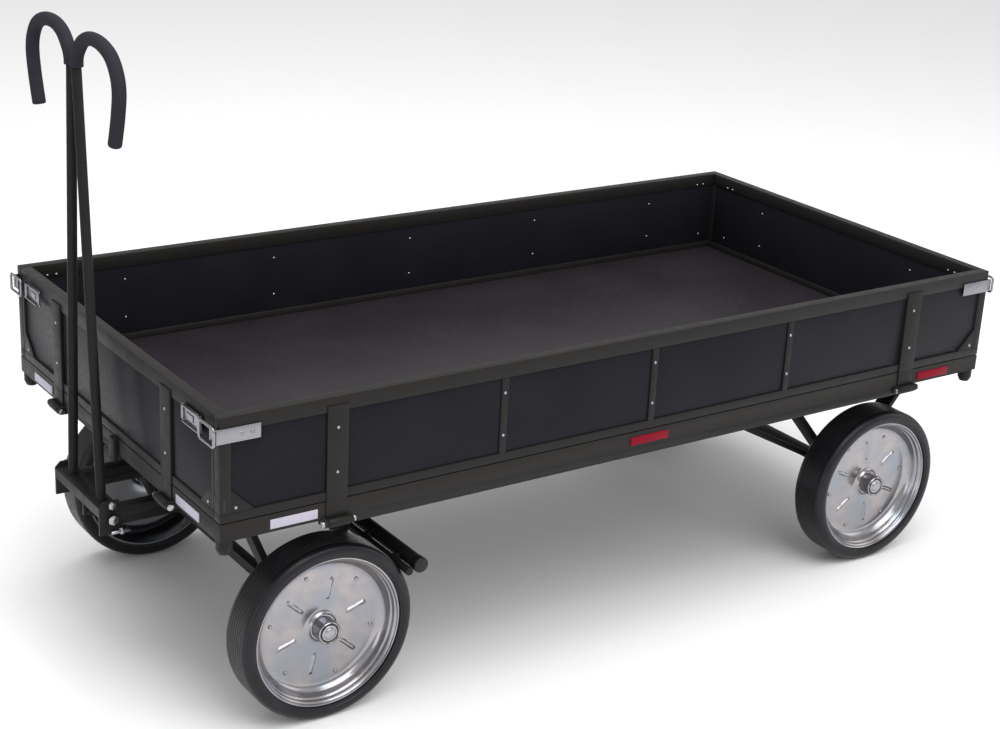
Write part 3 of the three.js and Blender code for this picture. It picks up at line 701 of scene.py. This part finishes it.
class TRUCK_OT_side_boards(bpy.types.Operator):
    """Film-faced plywood boards of the sides"""

    bl_idname = "truck.side_boards"
    bl_label = "Side boards"

    def execute(self, context):
        for name in SIDES:
            node = f"{name}_side_board"
            low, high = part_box(node)
            bm = bmesh.new()
            add_box(bm, low, high)
            round_edges(bm, 0.6 * MM)
            finish_piece(node + "_piece", bm, finish("film"), name + "_side",
                         [node])
        return {"FINISHED"}


class TRUCK_OT_rivets(bpy.types.Operator):
    """Rivets of the sides, on both faces"""

    bl_idname = "truck.rivets"
    bl_label = "Rivets"

    # Heights of the strap and strip rivets, below the side's top.
    BELOW_TOP = (65 * MM, 160 * MM)
    TOP_RAIL_ROW = 27 * MM
    GUSSET_ROW = 29 * MM
    # Places along the side, from its ends.
    INNER_END, FAR_INNER_END = 62 * MM, 84 * MM

    def execute(self, context):
        for name in SIDES:
            side = Side(name)
            bm = bmesh.new()
            for along, up in self.columns(side):
                outward = FACE_GAP + PLATE if along in side.straps else STRIP_PROUD
                self.rivet(bm, side, along, outward, up, 1)
                self.rivet(bm, side, along, -(SIDE_THICKNESS - PLATE), up, -1)
            for way in (-1, 1):
                low = SIDE_BOTTOM + self.GUSSET_ROW
                along = way * (side.half - (34 if side.long else 26) * MM)
                self.rivet(bm, side, along, 0.0, low, 1)
                inner = way * (side.half - self.INNER_END)
                self.rivet(bm, side, inner, -(SIDE_THICKNESS - PLATE), low + 14 * MM, -1)
                for from_end in (self.FAR_INNER_END, self.INNER_END):
                    self.rivet(bm, side, way * (side.half - from_end), -SIDE_THICKNESS,
                               SIDE_TOP - self.TOP_RAIL_ROW, -1)
            finish_piece(f"{name}_side_rivets", bm, finish("zinc"), side.body)
        return {"FINISHED"}

    def columns(self, side):
        """Two rivets on each strap and strip."""
        for along in [*side.straps, *side.strips]:
            for below in self.BELOW_TOP:
                yield along, SIDE_TOP - below

    def rivet(self, bm, side, along, outward, up, way):
        normal = side.turn @ Vector((0, -way, 0))
        add_dome(bm, side.place(along, outward, up), normal, settings().rivet_radius,
                 settings().rivet_height)


class TRUCK_OT_hinge_pins(bpy.types.Operator):
    """Hinge pins with their heads"""

    bl_idname = "truck.hinge_pins"
    bl_label = "Hinge pins"

    def execute(self, context):
        for name in SIDES:
            side = Side(name)
            way = side.matrix.to_3x3() @ Vector((1, 0, 0))
            for tag in TAGS:
                node = f"{name}_side_hinge_pin_{tag}"
                centre = middle(node)
                low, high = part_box(node)
                reach = max(high.x - low.x, high.y - low.y) / 2
                head = 5 * MM
                bm = bmesh.new()
                add_rod(bm, centre - way * (reach - head), centre + way * (reach - head),
                        6 * MM, 32)
                for end in (-1, 1):
                    add_rod(bm, centre + way * end * (reach - head), centre + way * end * reach,
                            7 * MM, 32)
                round_edges(bm, 1.0 * MM)
                finish_piece(node + "_piece", bm, finish("zinc"), "deck", [node])
        return {"FINISHED"}


# ---- Latches ------------------------------------------------------------------------------------
class TRUCK_OT_keepers(bpy.types.Operator):
    """Ribbed keeper plates on the long sides, with their hook tabs"""

    bl_idname = "truck.keepers"
    bl_label = "Keepers"

    def execute(self, context):
        for name in ("left", "right"):
            for tag, way in zip(TAGS, (-1, 1)):
                self.keeper(Side(name), tag, way)
        return {"FINISHED"}

    def keeper(self, side, tag, way):
        node = f"{side.name}_side_keeper_{tag}"
        low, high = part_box(node)
        bottom, top = low.z, high.z
        end = side.half
        thick = 2.5 * MM
        bm = bmesh.new()

        def slab(a, b, near, far, z0, z1):
            x0, x1 = sorted((way * a, way * b))
            add_box(bm, (x0, -side.out - far, z0), (x1, -side.out - near, z1), side.matrix)

        slab(end - 86 * MM, end + 9 * MM, FACE_GAP, FACE_GAP + thick, bottom, top)
        # The plate turns the corner and lies on the side's end.
        slab(end + 6.5 * MM, end + 9 * MM, -24.5 * MM, FACE_GAP + thick,
             bottom + 2 * MM, top - 2 * MM)
        # The tab's end is curled outwards into a hook for the bail.
        hook = side.matrix @ Vector((way * (end + 7.8 * MM), -side.out + 22 * MM, bottom + 3 * MM))
        hook_top = hook + Vector((0, 0, top - bottom - 6 * MM))
        add_rod(bm, hook, hook_top, 2.6 * MM, 20)
        round_edges(bm, 0.7 * MM)
        for z in (bottom + 6.5 * MM, top - 6.5 * MM):
            # Two ribs pressed along the plate.
            start = side.matrix @ Vector((way * (end - 78 * MM), -side.out - FACE_GAP - thick, z))
            stop = side.matrix @ Vector((way * (end - 6 * MM), -side.out - FACE_GAP - thick, z))
            add_sleeve(bm, [start, stop], 2.7 * MM, 16, 2.2 * MM)
        for along in (68, 46):
            self.rivet(bm, side, way * (end - along * MM), (bottom + top) / 2)
        finish_piece(node + "_piece", bm, finish("latch"), side.body, [node])

    def rivet(self, bm, side, along, up):
        normal = side.turn @ Vector((0, -1, 0))
        add_dome(bm, side.place(along, 2.8 * MM, up), normal, 4.5 * MM, 2 * MM)


class TRUCK_OT_latches(bpy.types.Operator):
    """Draw latches of the short sides: pressed levers and wire bails"""

    bl_idname = "truck.latches"
    bl_label = "Latches"

    # Along a short side, from its middle.
    LEVER_START, LEVER_END = 373 * MM, 457 * MM
    LEVER_PIN = 451 * MM
    BAIL_START, BAIL_END = 463 * MM, 532 * MM
    # Outwards from the side's face.
    LEVER_NEAR, LEVER_FAR = 3.6 * MM, 11.6 * MM
    BAIL_OUT = 14 * MM
    SHEET = 2.5 * MM
    WIRE_RADIUS = 3 * MM

    def execute(self, context):
        for name in ("front", "rear"):
            side = Side(name)
            for tag, way in zip(TAGS, (-1, 1)):
                self.lever(side, tag, way)
                self.bail(side, tag, way)
        return {"FINISHED"}

    def lever(self, side, tag, way):
        node = f"{side.name}_side_latch_lever_{tag}"
        low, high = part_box(node)
        start, end = self.LEVER_START, self.LEVER_END
        bottom, top = low.z, high.z
        near, far, sheet = self.LEVER_NEAR, self.LEVER_FAR, self.SHEET
        bm = bmesh.new()

        def slab(a, b, inner, outer, z0, z1):
            x0, x1 = sorted((way * a, way * b))
            add_box(bm, (x0, -side.out - outer, z0), (x1, -side.out - inner, z1), side.matrix)

        # Back plate, its two flanges, the finger lip and the raised pad.
        slab(start, end, near, near + sheet, bottom, top)
        for z in (bottom, top - sheet):
            slab(start + 8 * MM, end, near + 2 * MM, far, z, z + sheet)
        slab(start, start + 9 * MM, near + 1.5 * MM, near + 5 * MM, bottom + 4 * MM, top - 4 * MM)
        slab(start + 22 * MM, start + 52 * MM, near + 2 * MM, near + 4.5 * MM,
             bottom + 11 * MM, top - 11 * MM)
        round_edges(bm, 0.8 * MM)
        pin_low = side.matrix @ Vector((way * self.LEVER_PIN, -side.out - 7.6 * MM, bottom))
        pin_high = pin_low + Vector((0, 0, top - bottom))
        add_rod(bm, pin_low, pin_high, 3.4 * MM, 20)
        finish_piece(node + "_piece", bm, finish("latch"), body_of(node), [node])

    def bail(self, side, tag, way):
        node = f"{side.name}_side_latch_bail_{tag}"
        low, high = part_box(node)
        wire = self.WIRE_RADIUS
        depth = -side.out - self.BAIL_OUT
        corner = 6 * MM
        near, far = self.BAIL_START + wire + corner, self.BAIL_END - wire - corner
        bottom, top = low.z + wire + corner, high.z - wire - corner
        points = []
        for cx, cz, first in ((far, top, 0), (near, top, 90), (near, bottom, 180),
                              (far, bottom, 270)):
            for step in range(5):
                angle = math.radians(first + step * 22.5)
                points.append(side.matrix @ Vector((
                    way * (cx + corner * math.cos(angle)), depth, cz + corner * math.sin(angle))))
        points.append(points[0])
        bm = bmesh.new()
        add_sleeve(bm, points, wire, 16)
        finish_piece(node + "_piece", bm, finish("latch"), body_of(node), [node])


# ---- Wheels -------------------------------------------------------------------------------------
def wheel_axis(name):
    """Middle of a wheel's outer face, and the way that the face looks."""
    low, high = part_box(name + "_tyre")
    outward = -1 if name.endswith("left") else 1
    face = low.y if outward < 0 else high.y
    return Vector(((low.x + high.x) / 2, face, middle(name + "_hub").z)), outward


class TRUCK_OT_tyres(bpy.types.Operator):
    """Solid rubber tyres with a grooved tread"""

    bl_idname = "truck.tyres"
    bl_label = "Tyres"

    def execute(self, context):
        for name in WHEELS:
            centre, outward = wheel_axis(name)
            bm = bmesh.new()
            add_turned(bm, self.outline(), centre, 120, outward)
            node = name + "_tyre"
            finish_piece(node + "_piece", bm, finish("rubber"), body_of(node),
                         [node], smooth=32)
        return {"FINISHED"}

    def outline(self):
        """Half section, mirrored: side wall with a moulded ring, round shoulder, grooved tread."""
        width, radius, seat = 95 * MM, 199.4 * MM, 170.3 * MM
        wall = [(seat, 4 * MM), (seat + 2 * MM, 2.5 * MM), (seat + 5 * MM, 2 * MM),
                (seat + 6 * MM, 0.6 * MM), (seat + 8 * MM, 0.2 * MM), (seat + 14 * MM, 0.8 * MM)]
        shoulder = 15 * MM
        for step in range(7):
            angle = math.radians(step * 15)
            wall.append((radius - shoulder + shoulder * math.sin(angle),
                         1.2 * MM + shoulder * (1 - math.cos(angle))))
        grooves = settings().groove_count
        tread = []
        first, last = 21 * MM, width - 21 * MM
        for k in range(grooves):
            at = first + (last - first) * k / max(grooves - 1, 1)
            half, deep = 0.9 * MM, 2.2 * MM
            tread += [(radius, at - half - 0.4 * MM), (radius - 0.5 * MM, at - half),
                      (radius - deep, at - half * 0.5), (radius - deep, at + half * 0.5),
                      (radius - 0.5 * MM, at + half), (radius, at + half + 0.4 * MM)]
        mirrored = [(r, width - y) for r, y in reversed(wall)]
        return wall + tread + mirrored


class TRUCK_OT_wheel_discs(bpy.types.Operator):
    """Pressed wheel discs with embossed ribs and rivets"""

    bl_idname = "truck.wheel_discs"
    bl_label = "Wheel discs"

    # How far each wheel stands turned, in radians.
    TURNS = {"front_left": 0.30, "front_right": 0.1, "rear_left": 0.62, "rear_right": 0.4}
    RIB_START, RIB_END = 60 * MM, 112 * MM
    RIB_HALF_WIDTH = 4.6 * MM
    RIB_RUN_IN = 7 * MM
    RIB_HEIGHT = 3.6 * MM
    # Behind this depth lies the disc's back, which stays flat.
    BACK_DEPTH = 46 * MM
    RIVET_CIRCLE = 122 * MM
    RIVET_DEPTH = 43.6 * MM

    def execute(self, context):
        for name in WHEELS:
            self.disc(name)
        return {"FINISHED"}

    def disc(self, name):
        centre, outward = wheel_axis(name)
        count = settings().rib_count
        start = self.TURNS[name]

        def rib(radius, depth, angle):
            """Raises a short rib towards the outer face."""
            if depth > self.BACK_DEPTH or not self.RIB_START < radius < self.RIB_END:
                return 0.0
            turn = (angle - start) * count / (2 * math.pi)
            off = abs(turn - round(turn)) * 2 * math.pi / count * radius
            across = max(0.0, 1 - (off / self.RIB_HALF_WIDTH) ** 2)
            run_in = min(1.0, (radius - self.RIB_START) / self.RIB_RUN_IN,
                         (self.RIB_END - radius) / self.RIB_RUN_IN)
            return -self.RIB_HEIGHT * across * run_in

        bm = bmesh.new()
        add_turned(bm, self.outline(), centre, 360, outward, rib)
        for k in range(count):
            angle = start + (k + 0.5) * 2 * math.pi / count
            place = Vector((centre.x + self.RIVET_CIRCLE * math.cos(angle),
                            centre.y - outward * self.RIVET_DEPTH,
                            centre.z + self.RIVET_CIRCLE * math.sin(angle)))
            add_dome(bm, place, (0, outward, 0), 4.6 * MM, 3.2 * MM)
        node = name + "_rim"
        finish_piece(node + "_piece", bm, finish("disc"), body_of(node), [node],
                     smooth=30)

    def outline(self):
        """Closed section of the disc and its band, from the outer lip to the hub and back."""
        lip = [(169.7, 8), (168.9, 6.4), (167, 6.1), (165.2, 7.2), (164.3, 9.6), (162.8, 12)]
        steps = [(160.6, 13.2), (159.4, 15.4), (158.2, 19), (156.2, 20.6), (154.8, 22.6),
                 (153, 27.4), (150.6, 32.6), (147.4, 37.6), (143.4, 41.2), (138.6, 43.4),
                 (133, 44.2)]
        web = [(133 - 1.4 * k, 44.2 - 0.02 * k) for k in range(1, 66)]
        collar = [(38, 42.4), (34, 41), (31, 38.6), (29, 35.6), (26.4, 35)]
        front = lip + steps + web + collar
        back = [(26.4, 40), (31, 43), (38, 46), (60, 47.4), (133, 47.9), (140, 47.4), (147, 44),
                (153, 38.6), (158, 31), (161.5, 24.5), (164.8, 19.4), (166.2, 22), (166.2, 88.8),
                (169.8, 89)]
        return [(r * MM, y * MM) for r, y in front + back]


class TRUCK_OT_hubs(bpy.types.Operator):
    """Hub tubes, seal rings, washers and axle bolts"""

    bl_idname = "truck.hubs"
    bl_label = "Hubs"

    # In millimetres, like the outlines below.
    LENGTH = 99.5

    def execute(self, context):
        for name in WHEELS:
            centre, outward = wheel_axis(name)
            node = name + "_hub"
            inner = self.LENGTH
            bm = bmesh.new()
            outline = [(21, 1.5), (23.5, 0), (25.2, 1.2), (26, 3), (26, inner - 2), (24.5, inner),
                       (15, inner), (15, 6), (21, 6)]
            add_turned(bm, self.from_hub_end(outline), centre, 72, outward)
            finish_piece(node + "_piece", bm, finish("disc"), body_of(node), [node])
            self.seal(name, centre, outward)
            self.axle_end(name, centre, outward)
        return {"FINISHED"}

    def from_hub_end(self, outline):
        """Millimetres from the hub's outer end, as metres from the tyre's outer face."""
        return [(radius * MM, depth * MM + HUB_DEPTH) for radius, depth in outline]

    def seal(self, name, centre, outward):
        bm = bmesh.new()
        outline = [(18.4, 2), (20.9, 1), (20.9, 5.8), (18.4, 5.8)]
        add_turned(bm, self.from_hub_end(outline), centre, 72, outward)
        finish_piece(name + "_seal", bm, finish("seal"), "wheel_" + name)

    def axle_end(self, name, centre, outward):
        """The flat washer and the domed screw in the end of the axle, which stay with the axle."""
        bm = bmesh.new()
        outline = [(17.8, 5.5), (17.8, 1.4), (17, 0.6), (13.2, 0.2), (12.6, -1.2), (11, -2.6),
                   (8, -3.4), (3, -3.8)]
        add_disc(bm, self.from_hub_end(outline), centre, 48, outward)
        body = "steering" if name.startswith("front") else "deck"
        finish_piece(name + "_axle_end", bm, finish("zinc"), body)


# ---- Running gear -------------------------------------------------------------------------------
class TRUCK_OT_running_gear(bpy.types.Operator):
    """Axles, legs, turntable, steering frame and fork arms"""

    bl_idname = "truck.running_gear"
    bl_label = "Running gear"

    def execute(self, context):
        for node in ("rear_axle", "front_axle", "rear_legs_left", "rear_legs_right",
                     "turntable_ring", "steering_frame", "fork_arm_left", "fork_arm_right"):
            softened(node, finish("powder"))
        return {"FINISHED"}


class TRUCK_OT_brake(bpy.types.Operator):
    """Brake bar with its shoe rod, shaft and arms, its end caps and the pull rod"""

    bl_idname = "truck.brake"
    bl_label = "Parking brake"

    BAR_HEIGHT = 308 * MM
    BAR_BEHIND = 16 * MM
    CAP_START, CAP_END = 462 * MM, 487.5 * MM
    CAP_RADIUS = 17.4 * MM

    def execute(self, context):
        softened("brake_bar", finish("powder"), 0.8 * MM)
        softened("brake_rod", finish("powder"), 0.8 * MM)
        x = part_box("brake_bar")[1].x - self.BAR_BEHIND
        z = self.BAR_HEIGHT - GROUND_SHIFT
        for side, way in (("left", -1), ("right", 1)):
            bm = bmesh.new()
            add_rod(bm, (x, way * self.CAP_START, z), (x, way * self.CAP_END, z),
                    self.CAP_RADIUS, 40)
            round_edges(bm, 2.5 * MM, 3)
            finish_piece(f"brake_cap_{side}", bm, finish("rubber"), "brake")
        return {"FINISHED"}


class TRUCK_OT_fasteners(bpy.types.Operator):
    """Bolts of the running gear, and painted shade of the slots in the sides' corners"""

    bl_idname = "truck.fasteners"
    bl_label = "Fasteners"

    # Faces of the legs that the bolt heads sit on, from the truck's middle.
    LEG_FACE = 363 * MM
    LEG_BOLTS_X, LEG_BOLTS_Z = (-18 * MM, 18 * MM), (-17 * MM, 17 * MM)
    # Bolster bolts, from the front axle and from the middle.
    BOLSTER_BOLTS_X, BOLSTER_BOLTS_Y = (-125 * MM, 97.5 * MM), 101 * MM
    SLOT_HALF_WIDTH = 1.6 * MM
    SLOT_PROUD = 0.35 * MM

    def execute(self, context):
        self.leg_bolts("rear_axle", "deck")
        self.leg_bolts("front_axle", "steering")
        self.bolster_bolts()
        for name in ("left", "right"):
            self.slots(Side(name))
        return {"FINISHED"}

    def leg_bolts(self, axle, body):
        """Heads of the four bolts through each leg's shoe."""
        centre = middle(axle)
        bm = bmesh.new()
        for way in (-1, 1):
            face = way * self.LEG_FACE
            for dx in self.LEG_BOLTS_X:
                for dz in self.LEG_BOLTS_Z:
                    start = Vector((centre.x + dx, face - way * 0.5 * MM, centre.z + dz))
                    add_rod(bm, start, start + Vector((0, way * 4 * MM, 0)), 5 * MM, 6)
        round_edges(bm, 0.6 * MM)
        finish_piece(axle + "_bolts", bm, finish("zinc"), body)

    def bolster_bolts(self):
        """Bolts that hold the bolsters down on the fork arms, seen from below."""
        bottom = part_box("fork_arm_left")[0].z
        front = middle("front_axle").x
        bm = bmesh.new()
        for way in (-1, 1):
            for dx in self.BOLSTER_BOLTS_X:
                x, y = front + dx, way * self.BOLSTER_BOLTS_Y
                add_rod(bm, (x, y, bottom + 0.5 * MM), (x, y, bottom - 6 * MM), 8 * MM, 6)
                add_rod(bm, (x, y, bottom - 5 * MM), (x, y, bottom - 11 * MM), 4.5 * MM, 20)
        round_edges(bm, 0.7 * MM)
        finish_piece("bolster_bolts", bm, finish("zinc"), "steering")

    def slots(self, side):
        """Upright slots near the corners, on the long side's face and on its ends, drawn as painted
        shade: dark plates over the face.
        """
        half, proud = self.SLOT_HALF_WIDTH, self.SLOT_PROUD
        bm = bmesh.new()
        for way in (-1, 1):
            along = way * (side.half - 9 * MM)
            low = side.place(along, 0, SIDE_BOTTOM + 26 * MM)
            self.slot_shade_plate(bm, low, side.turn @ Vector((half, 0, 0)),
                            side.turn @ Vector((0, -proud, 0)))
            end = side.place(way * side.half, -SIDE_THICKNESS * 0.85, SIDE_BOTTOM + 27 * MM)
            self.slot_shade_plate(bm, end, side.turn @ Vector((0, half, 0)),
                            side.turn @ Vector((way * proud, 0, 0)))
        # The slots' dark plates use the seal's black rubber as painted shade.
        finish_piece(f"{side.name}_side_slots", bm, finish("seal"), side.body)

    def slot_shade_plate(self, bm, low, across, out, height=21 * MM):
        """A dark lozenge with round ends: painted shade that stands for a punched slot's hole."""
        up = Vector((0, 0, 1))
        radius = across.length
        corners = []
        for base, first in ((height - radius, 0), (radius, 180)):
            for step in range(7):
                angle = math.radians(first + step * 30)
                corners.append(low + across * math.cos(angle)
                               + up * (base + radius * math.sin(angle)))
        add_plate(bm, corners, out)


# ---- Drawbar ------------------------------------------------------------------------------------
class TRUCK_OT_drawbar(bpy.types.Operator):
    """Drawbar foot, tubes, pivot bolt and stop screws"""

    bl_idname = "truck.drawbar"
    bl_label = "Drawbar"

    CLAMP_ABOVE = 32 * MM
    SCREW_BELOW = 30 * MM
    # Outside the fork arms, which the screws pass when the drawbar folds down.
    SCREW_Y = 126 * MM

    def execute(self, context):
        softened("drawbar_frame", finish("powder"), 0.8 * MM)
        self.pivot_bolt()
        self.stop_bolts()
        return {"FINISHED"}

    def pivot_bolt(self):
        node = "drawbar_pivot_bolt"
        low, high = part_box(node)
        centre = middle(node)
        bm = bmesh.new()
        head = 8 * MM
        add_rod(bm, (centre.x, low.y + head, centre.z), (centre.x, high.y - head, centre.z),
                8 * MM, 32)
        for end in (low.y, high.y - head):
            add_rod(bm, (centre.x, end, centre.z), (centre.x, end + head, centre.z), 12 * MM, 6)
        round_edges(bm, 0.9 * MM)
        finish_piece(node + "_piece", bm, finish("zinc"), "steering", [node])

    def stop_bolts(self):
        """Upper clamp bolts and the adjusting screws below the cheeks."""
        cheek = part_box("drawbar_frame")[1].y
        pivot = middle("drawbar_pivot_bolt")
        clamp_z = pivot.z + self.CLAMP_ABOVE
        screw_z = pivot.z - self.SCREW_BELOW
        bm = bmesh.new()
        for way in (-1, 1):
            outer = way * cheek
            y = way * self.SCREW_Y
            add_rod(bm, (pivot.x - 1 * MM, outer - way * 1 * MM, clamp_z),
                    (pivot.x - 1 * MM, outer + way * 6 * MM, clamp_z), 9 * MM, 6)
            add_rod(bm, (pivot.x - 4 * MM, y, screw_z), (pivot.x + 38 * MM, y, screw_z), 4 * MM, 20)
            add_rod(bm, (pivot.x + 16.7 * MM, y, screw_z), (pivot.x + 23 * MM, y, screw_z),
                    7.5 * MM, 6)
        round_edges(bm, 0.7 * MM)
        finish_piece("drawbar_stop_bolts", bm, finish("zinc"), "drawbar")


class TRUCK_OT_grips(bpy.types.Operator):
    """Foam sleeves on the two hooked handles"""

    bl_idname = "truck.grips"
    bl_label = "Grips"

    # The hook's centre line, sideways and up, in millimetres.
    HOOK = ((14.5, 1317), (15.5, 1334), (26, 1352), (52, 1375), (90, 1387), (140, 1386),
            (185, 1371), (212, 1342), (221, 1308), (214, 1265), (204, 1230), (194, 1200))
    RADIUS = 14 * MM

    def execute(self, context):
        for name, way in (("left", -1), ("right", 1)):
            node = f"drawbar_grip_{name}"
            bm = bmesh.new()
            add_sleeve(bm, self.centre_line(middle(node).x, way), self.RADIUS, 32,
                       settings().grip_bulge)
            finish_piece(node + "_piece", bm, finish("foam"), "drawbar", [node])
        return {"FINISHED"}

    def centre_line(self, plane, way, steps=6):
        """A smooth line (Catmull-Rom) through the hook's points."""
        pts = [Vector((plane, way * y * MM, z * MM - GROUND_SHIFT)) for y, z in self.HOOK]
        line = []
        for i in range(len(pts) - 1):
            p0 = pts[max(i - 1, 0)]
            p3 = pts[min(i + 2, len(pts) - 1)]
            for k in range(steps):
                t = k / steps
                line.append(0.5 * ((2 * pts[i]) + (pts[i + 1] - p0) * t
                                   + (2 * p0 - 5 * pts[i] + 4 * pts[i + 1] - p3) * t * t
                                   + (3 * pts[i] - p0 - 3 * pts[i + 1] + p3) * t ** 3))
        line.append(pts[-1])
        return line


# ---- Stage --------------------------------------------------------------------------------------
class TRUCK_OT_stage(bpy.types.Operator):
    """Floor, soft lights, world and camera"""

    bl_idname = "truck.stage"
    bl_label = "Stage"

    FLOOR_HALF_WIDTH = 40

    def execute(self, context):
        self.floor()
        self.lights()
        self.camera()
        return {"FINISHED"}

    def floor(self):
        bm = bmesh.new()
        bmesh.ops.create_grid(bm, x_segments=1, y_segments=1, size=self.FLOOR_HALF_WIDTH)
        mesh = bpy.data.meshes.new("studio_floor")
        bm.to_mesh(mesh)
        bm.free()
        mesh.materials.append(finish("stage"))
        floor = bpy.data.objects.new("studio_floor", mesh)
        floor.location.z = -0.5 * MM
        bpy.context.scene.collection.objects.link(floor)

    def lights(self):
        world = bpy.data.worlds.new("studio")
        bpy.context.scene.world = world
        world.use_nodes = True
        tree = world.node_tree
        tree.nodes.clear()
        where = add_node(tree, "ShaderNodeTexCoord").outputs["Generated"]
        height = add_node(tree, "ShaderNodeSeparateXYZ", {"Vector": where}).outputs["Z"]
        # The studio's walls are grey and its ceiling is a white diffuser.
        colour = two_tone(tree, spread(tree, height, 0.0, 0.6, 0.0, 1.0), (0.62, 0.62, 0.63, 1),
                          (1, 1, 1, 1))
        background = add_node(tree, "ShaderNodeBackground", {"Color": colour, "Strength": 0.78})
        add_node(tree, "ShaderNodeOutputWorld", {"Surface": background.outputs["Background"]})
        self.softbox("key_softbox", (0.0, -5.0, 5.5), (0.1, 0, 0.5), 5.0, 200)
        self.softbox("top_softbox", (-0.6, -0.3, 6.5), (0.1, 0, 0.5), 6.0, 330)
        self.softbox("low_softbox", (-4.5, -2.2, 0.9), (-0.8, 0.4, 0.25), 1.6, 13)
        self.softbox("rim_softbox", (5.5, -3.0, 2.2), (0.4, -0.2, 0.4), 3.0, 35)
        bpy.context.scene.view_settings.view_transform = "Standard"

    def softbox(self, name, place, target, size, watts):
        """A square lamp at a place, turned to face a target."""
        light = bpy.data.lights.new(name, "AREA")
        light.size = size
        light.energy = watts
        lamp = bpy.data.objects.new(name, light)
        lamp.location = place
        lamp.rotation_euler = (Vector(target) - Vector(place)).to_track_quat("-Z", "Y").to_euler()
        bpy.context.scene.collection.objects.link(lamp)

    def camera(self):
        stage = bpy.context.scene.stage_settings
        data = bpy.data.cameras.new("camera")
        data.lens = stage.focal_length
        data.sensor_width = 36
        data.clip_end = 200
        camera = bpy.data.objects.new("camera", data)
        turn = Matrix.Rotation(stage.azimuth, 3, "Z") @ Matrix.Rotation(
            math.pi / 2 - stage.elevation, 3, "X") @ Matrix.Rotation(stage.roll, 3, "Z")
        camera.matrix_world = Matrix.Translation(
            Vector(stage.camera_place) + Vector((DECK_X, 0, 0))) @ turn.to_4x4()
        bpy.context.scene.collection.objects.link(camera)
        bpy.context.scene.camera = camera


# ---- Add-on -------------------------------------------------------------------------------------
OPERATORS = (
    TRUCK_OT_stage, TRUCK_OT_deck, TRUCK_OT_reflectors, TRUCK_OT_side_frames, TRUCK_OT_side_boards,
    TRUCK_OT_rivets, TRUCK_OT_hinge_pins, TRUCK_OT_keepers, TRUCK_OT_latches, TRUCK_OT_tyres,
    TRUCK_OT_wheel_discs, TRUCK_OT_hubs, TRUCK_OT_running_gear, TRUCK_OT_fasteners, TRUCK_OT_brake,
    TRUCK_OT_drawbar, TRUCK_OT_grips,
)


class TRUCK_PT_panel(bpy.types.Panel):
    """Buttons of the hand truck's pieces"""

    bl_idname = "TRUCK_PT_panel"
    bl_label = "Hand truck"
    bl_space_type = "VIEW_3D"
    bl_region_type = "UI"
    bl_category = "Hand truck"

    def draw(self, context):
        for group in (context.scene.truck_settings, context.scene.finish_settings,
                      context.scene.stage_settings):
            for key in group.__annotations__:
                self.layout.prop(group, key)
        for operator in OPERATORS:
            self.layout.operator(operator.bl_idname)


CLASSES = (TruckSettings, FinishSettings, StageSettings, *OPERATORS, TRUCK_PT_panel)


def register():
    for cls in CLASSES:
        bpy.utils.register_class(cls)
    bpy.types.Scene.truck_settings = PointerProperty(type=TruckSettings)
    bpy.types.Scene.finish_settings = PointerProperty(type=FinishSettings)
    bpy.types.Scene.stage_settings = PointerProperty(type=StageSettings)


def unregister():
    del bpy.types.Scene.stage_settings
    del bpy.types.Scene.finish_settings
    del bpy.types.Scene.truck_settings
    for cls in reversed(CLASSES):
        bpy.utils.unregister_class(cls)


def main():
    """Registers the add-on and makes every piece."""
    register()
    for operator in OPERATORS:
        group, name = operator.bl_idname.split(".")
        getattr(getattr(bpy.ops, group), name)()


if __name__ == "__main__":
    main()
